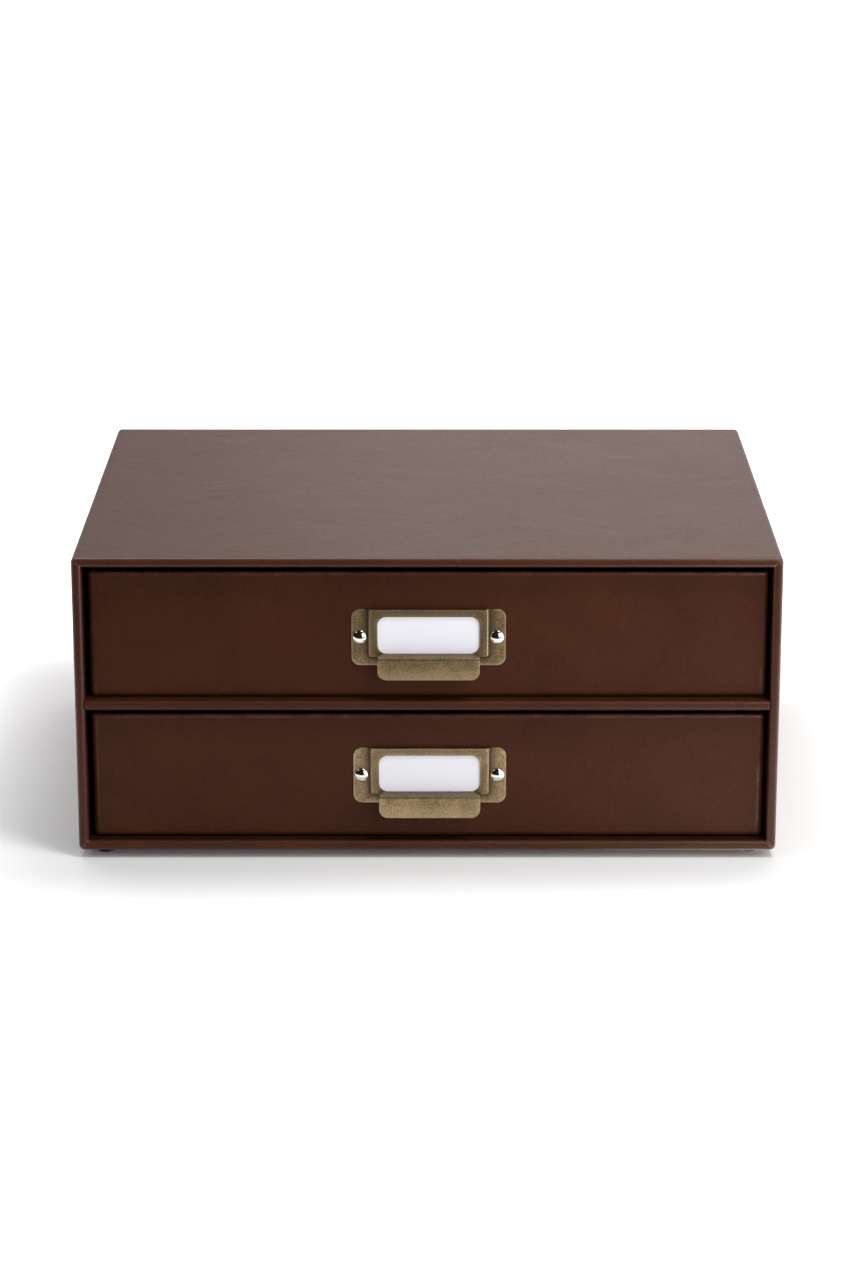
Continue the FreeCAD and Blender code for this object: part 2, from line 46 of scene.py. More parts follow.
# Camera: a long lens a little above the box, looking almost squarely at the drawer fronts.
# Its place and tilt were worked out from the box's own edges in the photograph.
camera_place = (2.94, -1702.88, 582.79)
camera_tilt = 16.80
camera_turn = 0.0975
camera_roll = 0.016
camera_lens = 148.81

camera_data = bpy.data.cameras.new("photo_camera")
camera_data.sensor_fit = "HORIZONTAL"
camera_data.sensor_width = 36
camera_data.lens = camera_lens
camera = bpy.data.objects.new("photo_camera", camera_data)
camera.location = Vector(camera_place) * MM
camera.rotation_euler = [math.radians(angle) for angle in (90 - camera_tilt, camera_roll, camera_turn)]
bpy.context.scene.collection.objects.link(camera)
bpy.context.scene.camera = camera
bpy.context.scene.view_settings.view_transform = "Standard"

# Table and light: a white table in white surroundings. A broad softbox hangs behind and above, and a
# smaller one at the front right throws the box's shadow to the back left. Dark walls stand at the
# camera's side, where only reflections see them.
table_white = (0.93, 0.93, 0.93, 1)
table_bounce = (0.62, 0.61, 0.60, 1)
ambient_strength = 0.35
dark_wall_tone = (0.022, 0.014, 0.010, 1)


def tree_of(owner):
    """The empty node tree of a new material or world."""
    owner.use_nodes = True
    owner.node_tree.nodes.clear()
    return owner.node_tree


def node(tree, kind, **settings):
    """A new node. A keyword that names an input sets it, by a value or by a link from a socket."""
    made = tree.nodes.new(kind)
    for name, value in settings.items():
        if hasattr(made, name):
            setattr(made, name, value)
    for name, value in settings.items():
        if hasattr(made, name):
            continue
        by_number = name[0] == "i" and name[1:].isdigit()
        socket = made.inputs[int(name[1:])] if by_number else made.inputs[name.replace("_", " ")]
        if isinstance(value, bpy.types.NodeSocket):
            tree.links.new(value, socket)
        else:
            socket.default_value = value
    return made


def seen_by_lens_or_mirror(tree):
    """One for camera, glossy and transmission rays, and zero for the rest."""
    path = node(tree, "ShaderNodeLightPath")
    lens_or_gloss = node(tree, "ShaderNodeMath", operation="MAXIMUM", i0=path.outputs["Is Camera Ray"], i1=path.outputs["Is Glossy Ray"])
    return node(tree, "ShaderNodeMath", operation="MAXIMUM", i0=lens_or_gloss.outputs[0], i1=path.outputs["Is Transmission Ray"]).outputs[0]


world = bpy.data.worlds.new("white_studio")
tree = tree_of(world)
lens_or_mirror = seen_by_lens_or_mirror(tree)
around = node(tree, "ShaderNodeMapRange", Value=lens_or_mirror, To_Min=ambient_strength, To_Max=1.0)
background = node(tree, "ShaderNodeBackground", Color=(1, 1, 1, 1), Strength=around.outputs["Result"])
tree.links.new(background.outputs[0], node(tree, "ShaderNodeOutputWorld").inputs["Surface"])
bpy.context.scene.world = world

# The table is white to the lens, whitest far out, and gives back less light than it shows. Its glow for
# the lens and reflections grows with distance past the box, which makes the floor far out white and paints
# the box's shadow lighter away from the box. In reflections only it glows brighter at the right front, a
# painted reflection of light on the drawer fronts, and beyond 0.42 m in front it shows as dark as the dark
# walls, a painted dark reflection.
table_material = bpy.data.materials.new("white_table")
tree = tree_of(table_material)
lens_or_mirror = seen_by_lens_or_mirror(tree)
table_place = node(tree, "ShaderNodeTexCoord")
table_axes = node(tree, "ShaderNodeSeparateXYZ", Vector=table_place.outputs["Object"])
near_side = node(tree, "ShaderNodeMapRange", interpolation_type="SMOOTHSTEP", Value=table_axes.outputs["Y"],
                 From_Min=-0.42, From_Max=-0.27, To_Min=0.0, To_Max=1.0)
mirror_path = node(tree, "ShaderNodeLightPath")
away_from_mirror = node(tree, "ShaderNodeMath", operation="SUBTRACT", i0=1.0, i1=mirror_path.outputs["Is Glossy Ray"])
white_share = node(tree, "ShaderNodeMath", operation="MAXIMUM", i0=near_side.outputs[0], i1=away_from_mirror.outputs[0])
shown_white = node(tree, "ShaderNodeMix", data_type="RGBA", i0=white_share.outputs[0], i6=dark_wall_tone, i7=table_white)
table_tone = node(tree, "ShaderNodeMix", data_type="RGBA", i0=lens_or_mirror, i6=table_bounce, i7=shown_white.outputs[2])
table_quarter = node(tree, "ShaderNodeVectorMath", operation="ABSOLUTE", i0=table_place.outputs["Object"])
past_the_box = node(tree, "ShaderNodeVectorMath", operation="SUBTRACT", i0=table_quarter.outputs[0], i1=(0.165, 0.131, 0.0))
beyond = node(tree, "ShaderNodeVectorMath", operation="MAXIMUM", i0=past_the_box.outputs[0], i1=(0.0, 0.0, 0.0))
table_reach = node(tree, "ShaderNodeVectorMath", operation="LENGTH", i0=beyond.outputs[0])
# Painted light: this glow lightens the box's shadow the farther it lies from the box.
far_out = node(tree, "ShaderNodeMapRange", interpolation_type="SMOOTHSTEP", Value=table_reach.outputs["Value"],
               From_Min=0.01, From_Max=0.17, To_Min=0.02, To_Max=0.8)
shown_lift = node(tree, "ShaderNodeMath", operation="MULTIPLY", i0=lens_or_mirror, i1=far_out.outputs[0])
lift = node(tree, "ShaderNodeMath", operation="MULTIPLY", i0=shown_lift.outputs[0], i1=white_share.outputs[0])
# Painted reflection: a glow seen only in reflections, at the right front of the table.
right_glow = node(tree, "ShaderNodeMapRange", interpolation_type="SMOOTHSTEP", Value=table_axes.outputs["X"],
                  From_Min=0.05, From_Max=0.16, To_Min=0.0, To_Max=1.5)
mirror_glow = node(tree, "ShaderNodeMath", operation="MULTIPLY", i0=right_glow.outputs[0], i1=mirror_path.outputs["Is Glossy Ray"])
near_glow = node(tree, "ShaderNodeMath", operation="MULTIPLY_ADD", i0=mirror_glow.outputs[0], i1=near_side.outputs[0], i2=lift.outputs[0])
table_shader = node(tree, "ShaderNodeBsdfPrincipled", Base_Color=table_tone.outputs[2], Roughness=0.9, Specular_IOR_Level=0.0,
                    Emission_Color=(1, 1, 1, 1), Emission_Strength=near_glow.outputs[0])
tree.links.new(table_shader.outputs[0], node(tree, "ShaderNodeOutputMaterial").inputs["Surface"])

table_half = 9.0
table_mesh = bpy.data.meshes.new("table")
table_mesh.from_pydata([(x * table_half, y * table_half, 0) for x, y in ((-1, -1), (1, -1), (1, 1), (-1, 1))], [], [(0, 1, 2, 3)])
table_mesh.materials.append(table_material)
table = bpy.data.objects.new("table", table_mesh)
bpy.context.scene.collection.objects.link(table)

dark_material = bpy.data.materials.new("dark_wall")
tree = tree_of(dark_material)
dark = node(tree, "ShaderNodeEmission", Color=dark_wall_tone, Strength=1.0)
tree.links.new(dark.outputs[0], node(tree, "ShaderNodeOutputMaterial").inputs["Surface"])
wall_radius = 4.5
wall_columns = 24
wall_rows = 10
wall_corners = []
for row in range(wall_rows + 1):
    up = math.radians(90 * row / wall_rows)
    for column in range(wall_columns + 1):
        turn = math.radians(-180 * column / wall_columns)
        reach = wall_radius * math.cos(up)
        wall_corners.append((reach * math.cos(turn), reach * math.sin(turn) - 0.3, wall_radius * math.sin(up)))
wall_faces = []
for row in range(wall_rows):
    for column in range(wall_columns):
        first = row * (wall_columns + 1) + column
        wall_faces.append((first, first + 1, first + wall_columns + 2, first + wall_columns + 1))
wall_mesh = bpy.data.meshes.new("dark_wall")
wall_mesh.from_pydata(wall_corners, [], wall_faces)
wall_mesh.materials.append(dark_material)
dark_wall = bpy.data.objects.new("dark_wall", wall_mesh)
dark_wall.visible_camera = False
dark_wall.visible_diffuse = False
dark_wall.visible_shadow = False
dark_wall.visible_transmission = False
bpy.context.scene.collection.objects.link(dark_wall)

lamps = (
    # name, azimuth to the right of the front, elevation, distance, width, height, watts, warmth, seen in gloss
    ("key_softbox", 41, 60, 1.7, 0.38, 0.38, 9.5, 0.0, True),
    ("back_softbox", 186, 74, 2.0, 1.4, 1.0, 16.0, 0.0, True),
    ("low_back_softbox", 160, 20, 1.9, 1.7, 0.6, 4.8, 0.14, True),
    ("right_softbox", 46, 15, 0.74, 0.80, 0.52, 2.85, 0.0, True),
    ("left_strip", -60, 42, 2.0, 0.25, 0.5, 2.2, 0.0, True),
    ("front_fill", 14, 8, 1.9, 1.2, 0.4, 2.1, 0.0, False),
)
for lamp_name, azimuth, elevation, distance, width, height, watts, warmth, in_gloss in lamps:
    lamp_data = bpy.data.lights.new(lamp_name, "AREA")
    lamp_data.shape = "RECTANGLE"
    lamp_data.size = width
    lamp_data.size_y = height
    lamp_data.energy = watts
    lamp_data.color = (1.0, 1.0 - warmth, 1.0 - 1.5 * warmth)
    lamp = bpy.data.objects.new(lamp_name, lamp_data)
    lamp.visible_camera = False
    lamp.visible_glossy = in_gloss
    across = math.radians(azimuth)
    up = math.radians(elevation)
    outward = Vector((math.sin(across) * math.cos(up), -math.cos(across) * math.cos(up), math.sin(up)))
    lamp.location = outward * distance + Vector((0, 0, 0.07))
    lamp.rotation_euler = (-outward).to_track_quat("-Z", "Y").to_euler()
    bpy.context.scene.collection.objects.link(lamp)

# Case boards: five plates of grey cardboard, glued edge to edge into a case that is open at the front.
# All of it is covered with paper, so the board is seen nowhere on the finished box.


def material_for(name):
    """A new material with an empty tree."""
    made = bpy.data.materials.new(name)
    return made, tree_of(made)


def finish_material(tree, shader):
    """Links a shader to the material's output."""
    tree.links.new(shader.outputs[0], node(tree, "ShaderNodeOutputMaterial").inputs["Surface"])


def place_on(tree, scale=1.0):
    """The piece's own coordinates, in millimetres times a scale."""
    coordinates = node(tree, "ShaderNodeTexCoord")
    return node(tree, "ShaderNodeVectorMath", operation="SCALE", i0=coordinates.outputs["Object"], Scale=scale / MM).outputs[0]


greyboard, tree = material_for("greyboard")
fibres = node(tree, "ShaderNodeTexNoise", Vector=place_on(tree), Scale=2.2, Detail=6.0, Roughness=0.7)
board_colour = node(tree, "ShaderNodeValToRGB", Fac=fibres.outputs["Fac"])
board_colour.color_ramp.elements[0].color = (0.17, 0.155, 0.135, 1)
board_colour.color_ramp.elements[1].color = (0.33, 0.31, 0.28, 1)
board_bump = node(tree, "ShaderNodeBump", Height=fibres.outputs["Fac"], Strength=0.3, Distance=0.1 * MM)
finish_material(tree, node(tree, "ShaderNodeBsdfPrincipled", Base_Color=board_colour.outputs[0], Roughness=0.95,
                           Specular_IOR_Level=0.2, Normal=board_bump.outputs[0]))

board_names = ["top_board", "bottom_board", "left_board", "right_board", "back_board", "shelf_board"]


def dress(name, material):
    """Gives a kept CAD node its material."""
    nodes[name].data.materials.clear()
    nodes[name].data.materials.append(material)


for name in board_names:
    dress(name, greyboard)

# Case cover: one sheet of grained paper, glued round the case, folded round the front edge into the
# opening and round the back edge onto the back. It is a satin brown with a fine pressed grain, and its
# folds meet in mitres at the front corners.


def new_group(name, inputs, outputs):
    """A shader node group with named sockets, and its input and output nodes."""
    group = bpy.data.node_groups.new(name, "ShaderNodeTree")
    for socket_name, kind, default in inputs:
        socket = group.interface.new_socket(socket_name, in_out="INPUT", socket_type="NodeSocket" + kind)
        if default is not None:
            socket.default_value = default
    for socket_name, kind in outputs:
        group.interface.new_socket(socket_name, in_out="OUTPUT", socket_type="NodeSocket" + kind)
    return group, node(group, "NodeGroupInput"), node(group, "NodeGroupOutput")


def use_group(tree, group, **values):
    """Places a node group and sets its inputs."""
    made = tree.nodes.new("ShaderNodeGroup")
    made.node_tree = group
    for name, value in values.items():
        socket = made.inputs[name.replace("_", " ")]
        if isinstance(value, bpy.types.NodeSocket):
            tree.links.new(value, socket)
        else:
            socket.default_value = value
    return made


# Pressed grain: small pebbles between fine creases, with pores, as a height.
pressed_grain, inside, outside = new_group(
    "pressed_grain",
    [("Place", "Vector", None), ("Pebble Size", "Float", 0.9), ("Crease", "Float", 0.5)],
    [("Height", "Float"), ("Pebble", "Float")],
)
size = node(pressed_grain, "ShaderNodeMath", operation="DIVIDE", i0=1.0, i1=inside.outputs["Pebble Size"])
warp = node(pressed_grain, "ShaderNodeTexNoise", Vector=inside.outputs["Place"], Scale=0.5, Detail=2.0)
warped = node(pressed_grain, "ShaderNodeVectorMath", operation="MULTIPLY_ADD", i0=warp.outputs["Color"], i1=(1.2, 1.2, 1.2), i2=inside.outputs["Place"])
pebbles = node(pressed_grain, "ShaderNodeTexVoronoi", feature="SMOOTH_F1", Vector=warped.outputs[0], Scale=size.outputs[0], Smoothness=0.45)
creases = node(pressed_grain, "ShaderNodeTexVoronoi", feature="DISTANCE_TO_EDGE", Vector=warped.outputs[0], Scale=size.outputs[0])
crease_edge = node(pressed_grain, "ShaderNodeMapRange", interpolation_type="SMOOTHSTEP", Value=creases.outputs["Distance"], From_Min=0.0, From_Max=0.16)
fine = node(pressed_grain, "ShaderNodeTexNoise", Vector=inside.outputs["Place"], Scale=3.1, Detail=3.0, Roughness=0.6)
dome = node(pressed_grain, "ShaderNodeMapRange", Value=pebbles.outputs["Distance"], From_Min=0.0, From_Max=0.75, To_Min=1.0, To_Max=0.25)
creased = node(pressed_grain, "ShaderNodeMath", operation="MULTIPLY", i0=dome.outputs[0], i1=crease_edge.outputs[0])
part_creased = node(pressed_grain, "ShaderNodeMix", data_type="FLOAT")
pressed_grain.links.new(inside.outputs["Crease"], part_creased.inputs[0])
pressed_grain.links.new(dome.outputs[0], part_creased.inputs[2])
pressed_grain.links.new(creased.outputs[0], part_creased.inputs[3])
height = node(pressed_grain, "ShaderNodeMath", operation="MULTIPLY_ADD", i0=fine.outputs["Fac"], i1=0.35, i2=part_creased.outputs[0])
pressed_grain.links.new(height.outputs[0], outside.inputs["Height"])
pressed_grain.links.new(crease_edge.outputs[0], outside.inputs["Pebble"])

# Cloudiness: broad soft blotches, from 0 to 1.
cloudiness, inside, outside = new_group(
    "cloudiness",
    [("Place", "Vector", None), ("Blotch Size", "Float", 60.0)],
    [("Amount", "Float")],
)
per_blotch = node(cloudiness, "ShaderNodeMath", operation="DIVIDE", i0=1.0, i1=inside.outputs["Blotch Size"])
blotches = node(cloudiness, "ShaderNodeTexNoise", Vector=inside.outputs["Place"], Scale=per_blotch.outputs[0], Detail=4.0, Roughness=0.62, Distortion=0.6)
spread = node(cloudiness, "ShaderNodeMapRange", Value=blotches.outputs["Fac"], From_Min=0.3, From_Max=0.7)
cloudiness.links.new(spread.outputs[0], outside.inputs["Amount"])


def grained_paper(name, dark_tone, light_tone, roughness, gloss):
    """Grained covering paper in two near tones, lighter where the mesh says edge: partly rubbed wear, partly painted
    highlights and glint points on the folds.
    """
    made, tree = material_for(name)
    place = place_on(tree)
    grain = use_group(tree, pressed_grain, Place=place, Pebble_Size=0.85, Crease=0.6)
    clouds = use_group(tree, cloudiness, Place=place, Blotch_Size=55.0)
    specks = node(tree, "ShaderNodeTexNoise", Vector=place, Scale=0.7, Detail=5.0, Roughness=0.75)
    tone = node(tree, "ShaderNodeMix", data_type="RGBA")
    tone_place = node(tree, "ShaderNodeMath", operation="MULTIPLY_ADD", i0=specks.outputs["Fac"], i1=1.05, i2=-0.22)
    tone_sum = node(tree, "ShaderNodeMath", operation="MULTIPLY_ADD", i0=clouds.outputs["Amount"], i1=0.4, i2=tone_place.outputs[0])
    tree.links.new(tone_sum.outputs[0], tone.inputs[0])
    tone.inputs[6].default_value = dark_tone
    tone.inputs[7].default_value = light_tone
    # The edge attribute lightens the paper: partly rubbed wear, partly painted highlight along the folds and painted
    # glint points.
    lighter_at_edges = node(tree, "ShaderNodeAttribute", attribute_name="edge")
    wear_and_glint_points = node(tree, "ShaderNodeMapRange", Value=specks.outputs["Fac"], From_Min=0.60, From_Max=0.70, To_Min=0.0, To_Max=2.2)
    wear_and_glint_pattern = node(tree, "ShaderNodeMath", operation="ADD", i0=specks.outputs["Fac"], i1=wear_and_glint_points.outputs[0])
    edge_lightening = node(tree, "ShaderNodeMath", operation="MULTIPLY", i0=lighter_at_edges.outputs["Fac"], i1=wear_and_glint_pattern.outputs[0], use_clamp=True)
    worn_and_highlit = node(tree, "ShaderNodeMix", data_type="RGBA")
    tree.links.new(edge_lightening.outputs[0], worn_and_highlit.inputs[0])
    tree.links.new(tone.outputs[2], worn_and_highlit.inputs[6])
    worn_and_highlit.inputs[7].default_value = tuple(min(channel * 2.2 + 0.01, 1) for channel in light_tone[:3]) + (1,)
    shine = node(tree, "ShaderNodeMapRange", Value=tone_sum.outputs[0], To_Min=roughness - 0.04, To_Max=roughness + 0.05)
    creases = node(tree, "ShaderNodeMapRange", Value=grain.outputs["Pebble"], To_Min=0.12, To_Max=0.0)
    dull = node(tree, "ShaderNodeMath", operation="ADD", i0=shine.outputs[0], i1=creases.outputs[0])
    relief = node(tree, "ShaderNodeBump", Height=grain.outputs["Height"], Strength=0.5, Distance=0.08 * MM)
    ripple = node(tree, "ShaderNodeBump", Height=clouds.outputs["Amount"], Strength=0.5, Distance=0.45 * MM, Normal=relief.outputs[0])
    polish = node(tree, "ShaderNodeMath", operation="MULTIPLY", i0=lighter_at_edges.outputs["Fac"], i1=2.0, use_clamp=True)
    shader = node(tree, "ShaderNodeBsdfPrincipled", Base_Color=worn_and_highlit.outputs[2], Roughness=dull.outputs[0],
                  Specular_IOR_Level=gloss, Coat_Weight=polish.outputs[0], Coat_Roughness=0.25, Normal=ripple.outputs[0])
    finish_material(tree, shader)
    return made


cover_paper = grained_paper("cover_paper", (0.034, 0.0095, 0.0032, 1), (0.072, 0.0208, 0.0076, 1), 0.39, 0.12)

case_half_width = 165.0
case_half_height = 71.75
case_middle_height = 75.75
case_front = -128.8
case_back = 131.2
case_wall = 4.6
corner_round = 2.3
fold_round = 2.0
inner_corner = 0.6
front_turn_in = 3.0
back_turn_over = 15.0
paper_thickness = 0.25
mitre_depth = 0.2


def ring(half_across, half_along, radius, stations_across, stations_along, corner_steps=8):
    """Points round a rounded rectangle, with the corner number and the share of the corner's turn."""
    points = []
    sides = (
        (1, 1, 0, stations_along), (-1, 1, 90, stations_across), (-1, -1, 180, stations_along), (1, -1, 270, stations_across),
    )
    for number, (side_x, side_y, start, _) in enumerate(sides):
        centre = (side_x * (half_across - radius), side_y * (half_along - radius))
        for step in range(corner_steps + 1):
            angle = math.radians(start + 90 * step / corner_steps)
            points.append((centre[0] + radius * math.cos(angle), centre[1] + radius * math.sin(angle), number, step / corner_steps))
        following = sides[(number + 1) % 4]
        end = (following[0] * (half_across - radius), following[1] * (half_along - radius))
        turn = math.radians(start + 90)
        first = (centre[0] + radius * math.cos(turn), centre[1] + radius * math.sin(turn))
        last = (end[0] + radius * math.cos(turn), end[1] + radius * math.sin(turn))
        stations = stations_across if number % 2 == 0 else stations_along
        for share in stations:
            points.append((first[0] + (last[0] - first[0]) * share, first[1] + (last[1] - first[1]) * share, number, None))
    return points


def even_stations(count, near_ends=()):
    """Shares along a side, evenly spread, with a few closer to both ends."""
    shares = [step / count for step in range(1, count)]
    shares += list(near_ends) + [1 - share for share in near_ends]
    return sorted(shares)


def arc(centre, radius, start, end, steps):
    """Points on an arc in a plane, angles in degrees."""
    turns = [math.radians(start + (end - start) * step / steps) for step in range(steps + 1)]
    return [(centre[0] + radius * math.cos(turn), centre[1] + radius * math.sin(turn)) for turn in turns]


def spaced(start, end, step):
    """Points between two points, ends left out, about a step apart."""
    length = math.dist(start, end)
    count = max(int(round(length / step)), 1)
    return [(start[0] + (end[0] - start[0]) * k / count, start[1] + (end[1] - start[1]) * k / count) for k in range(1, count)]


def thickened(path, thickness):
    """A closed profile: the path, and back along it at a thickness on its left."""
    under = []
    for index, point in enumerate(path):
        before = path[max(index - 1, 0)]
        after = path[min(index + 1, len(path) - 1)]
        along = Vector((after[0] - before[0], after[1] - before[1])).normalized()
        under.append((point[0] - along.y * thickness, point[1] + along.x * thickness))
    return list(path) + under[::-1]


def ripple(x, y, z, size, depth, seed):
    """A smooth random shift of a surface point, the same at every run."""
    return depth * noise.noise(Vector((x / size + seed, y / size, z / size)))


def add_piece(name, vertices, faces, material, body, replaced=(), attributes=None, sharp_angle=None):
    """A mesh object in metres from millimetre points, smooth, riding on its body."""
    mesh = bpy.data.meshes.new(name)
    mesh.from_pydata([(x * MM, y * MM, z * MM) for x, y, z in vertices], [], faces)
    for attribute, values in (attributes or {}).items():
        mesh.attributes.new(attribute, "FLOAT", "POINT").data.foreach_set("value", values)
    shell = bmesh.new()
    shell.from_mesh(mesh)
    bmesh.ops.delete(shell, geom=[vertex for vertex in shell.verts if not vertex.link_faces], context="VERTS")
    bmesh.ops.remove_doubles(shell, verts=shell.verts, dist=0.002 * MM)
    bmesh.ops.dissolve_degenerate(shell, edges=shell.edges, dist=0.002 * MM)
    bmesh.ops.recalc_face_normals(shell, faces=shell.faces)
    shell.to_mesh(mesh)
    shell.free()
    mesh.shade_smooth()
    if sharp_angle:
        mesh.set_sharp_from_angle(angle=math.radians(sharp_angle))
    mesh.materials.append(material)
    piece = bpy.data.objects.new(name, mesh)
    bpy.context.scene.collection.objects.link(piece)
    weighted = piece.modifiers.new("even_shading", "WEIGHTED_NORMAL")
    weighted.keep_sharp = True
    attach(piece, body)
    if replaced:
        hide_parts(*replaced)
    return piece


def closed_grid(rings):
    """Quads between closed rings, and between the last ring and the first."""
    count = len(rings[0])
    faces = []
    for row in range(len(rings)):
        following = (row + 1) % len(rings)
        for column in range(count):
            right = (column + 1) % count
            faces.append((row * count + column, row * count + right, following * count + right, following * count + column))
    return faces


case_path = [(case_wall, case_front + front_turn_in), (case_wall, case_front + front_turn_in - 0.4)]
case_path += spaced(case_path[-1], (case_wall, case_front + fold_round), 4.0)
case_path += arc((case_wall - fold_round, case_front + fold_round), fold_round, 0, -90, 8)
case_path += spaced((case_wall - fold_round, case_front), (fold_round, case_front), 0.8)
case_path += arc((fold_round, case_front + fold_round), fold_round, -90, -180, 8)
case_path += [(0, case_front + 2.6)]
case_path += spaced((0, case_front + 2.6), (0, case_back - 2.6), 8.0)
case_path += [(0, case_back - 2.6)]
case_path += arc((fold_round, case_back - fold_round), fold_round, 180, 90, 6)
case_path += spaced((fold_round, case_back), (back_turn_over, case_back - 0.2), 3.0)
case_path += [(back_turn_over, case_back - 0.2)]
case_profile = thickened(case_path, -paper_thickness)
wide_stations = even_stations(80, (0.003, 0.006))
tall_stations = even_stations(34, (0.006, 0.014))
case_points = []
case_rings = []
case_wear_and_highlight = []
for inset, y in case_profile:
    radius = max(corner_round - inset, inner_corner)
    row = []
    for x, z, corner, turn in ring(case_half_width - inset, case_half_height - inset, radius, wide_stations, tall_stations):
        z += case_middle_height
        on_front = max(0.0, 1 - abs(y - case_front) / 2.0)
        swell = ripple(x, y, z, 95.0, 0.12, 3.1) + ripple(x, y, z, 9.0, 0.05, 8.4)
        flutter = ripple(x, y, z, 7.0, 0.10, 1.7) * on_front
        depth = ripple(x, y, z, 11.0, 0.08, 5.2) * on_front
        if turn is not None:
            depth += mitre_depth * on_front * max(0.0, 1 - abs(turn - 0.5) * 4)
        elif corner in (1, 3):
            depth += 0.07 * on_front
        outward = Vector((x / case_half_width, (z - case_middle_height) / case_half_height)).normalized() * (swell * 0.5 + flutter)
        row.append((x + outward.x, y + depth, z + outward.y))
        # Edge amount: rub on the front face and mitres, and painted highlight along the folds of the front edge.
        at_fold = on_front * (1 - on_front) * 4
        case_wear_and_highlight.append(0.06 * on_front + 0.22 * at_fold + (0.25 * on_front if turn is not None else 0.0))
    case_points += row
    case_rings.append(row)
add_piece("case_wrap", case_points, closed_grid(case_rings), cover_paper, "root",
          ("case_cover",), {"edge": case_wear_and_highlight})

# Case lining and back sheet: plain brown paper pasted over the board inside the case, far darker than the
# cover as painted shade, and a sheet of the cover's own paper that closes the back over the folded edges.


def plain_paper(name, dark_tone, light_tone, roughness, gloss):
    """Smooth uncoated paper with soft fibres."""
    made, tree = material_for(name)
    place = place_on(tree)
    clouds = use_group(tree, cloudiness, Place=place, Blotch_Size=30.0)
    felt = node(tree, "ShaderNodeTexNoise", Vector=place, Scale=3.5, Detail=4.0, Roughness=0.7)
    amount = node(tree, "ShaderNodeMath", operation="MULTIPLY", i0=clouds.outputs["Amount"], i1=felt.outputs["Fac"])
    tone = node(tree, "ShaderNodeMix", data_type="RGBA")
    tree.links.new(amount.outputs[0], tone.inputs[0])
    tone.inputs[6].default_value = dark_tone
    tone.inputs[7].default_value = light_tone
    relief = node(tree, "ShaderNodeBump", Height=felt.outputs["Fac"], Strength=0.3, Distance=0.05 * MM)
    finish_material(tree, node(tree, "ShaderNodeBsdfPrincipled", Base_Color=tone.outputs[2], Roughness=roughness,
                               Specular_IOR_Level=gloss, Normal=relief.outputs[0]))
    return made


lining_paper = plain_paper("lining_paper", (0.016, 0.0060, 0.0034, 1), (0.032, 0.0125, 0.0070, 1), 0.85, 0.1)
dress("case_lining", lining_paper)


def pasted_sheet(rows, thickness):
    """A closed shell from a grid of points: the sheet's face, its underside and its four edges.

    The rows are points with the normal that the face has there.
    """
    height = len(rows)
    width = len(rows[0])
    face = [point for row in rows for point, _ in row]
    under = [tuple(Vector(point) - Vector(normal) * thickness) for row in rows for point, normal in row]
    count = height * width
    faces = []
    for i in range(height - 1):
        for j in range(width - 1):
            a, b, c, d = i * width + j, i * width + j + 1, (i + 1) * width + j + 1, (i + 1) * width + j
            faces.append((a, b, c, d))
            faces.append((a + count, d + count, c + count, b + count))
    border = [i for i in range(width)]
    border += [i * width + width - 1 for i in range(1, height)]
    border += [(height - 1) * width + j for j in range(width - 2, -1, -1)]
    border += [i * width for i in range(height - 2, 0, -1)]
    for index, first in enumerate(border):
        second = border[(index + 1) % len(border)]
        faces.append((first, first + count, second + count, second))
    return face + under, faces


def edge_stations(low, high, step, edge):
    """Places from low to high about a step apart, with one close to each end."""
    count = max(int(round((high - low) / step)), 1)
    return [low, low + edge] + [low + (high - low) * k / count for k in range(1, count)] + [high - edge, high]


back_sheet_margin = 13.6
back_rows = []
back_edge = []
for z in edge_stations(4 + back_sheet_margin, 147.5 - back_sheet_margin, 6.0, 0.3):
    row = []
    for x in edge_stations(-case_half_width + back_sheet_margin, case_half_width - back_sheet_margin, 8.0, 0.3):
        at_edge = abs(x) > case_half_width - back_sheet_margin - 0.1 or abs(z - case_middle_height) > case_half_height - back_sheet_margin - 0.1
        y = case_back + ripple(x, 0, z, 60.0, 0.05, 2.2) - (0.09 if at_edge else 0.0)
        row.append(((x, y, z), (0, 1, 0)))
        back_edge.append(0.8 if at_edge else 0.0)
    back_rows.append(row)
back_points, back_faces = pasted_sheet(back_rows, 0.2)
add_piece("back_sheet", back_points, back_faces, cover_paper, "root", ("back_cover",), {"edge": back_edge * 2})

# Shelf: a board glued between the sides and the back, with cover paper folded round its front edge and
# pasted along its top and underside. Its ends are tucked against the side folds.
shelf_low, shelf_high = (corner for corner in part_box("shelf_cover"))
shelf_low = shelf_low / MM
shelf_high = shelf_high / MM
shelf_path = [(shelf_high.y - 0.2, shelf_low.z)]
shelf_path += spaced((shelf_high.y, shelf_low.z), (shelf_low.y + 2.6, shelf_low.z), 9.0)
shelf_path += [(shelf_low.y + 2.6, shelf_low.z)]
shelf_path += arc((shelf_low.y + fold_round, shelf_low.z + fold_round), fold_round, -90, -180, 6)
shelf_path += spaced((shelf_low.y, shelf_low.z + fold_round), (shelf_low.y, shelf_high.z - fold_round), 0.8)
shelf_path += arc((shelf_low.y + fold_round, shelf_high.z - fold_round), fold_round, 180, 90, 6)
shelf_path += [(shelf_low.y + 2.6, shelf_high.z)]
shelf_path += spaced((shelf_low.y + 2.6, shelf_high.z), (shelf_high.y, shelf_high.z), 9.0)
shelf_path += [(shelf_high.y - 0.2, shelf_high.z)]
shelf_middle = (shelf_low.z + shelf_high.z) / 2
shelf_rows = []
shelf_wear_and_highlight = []
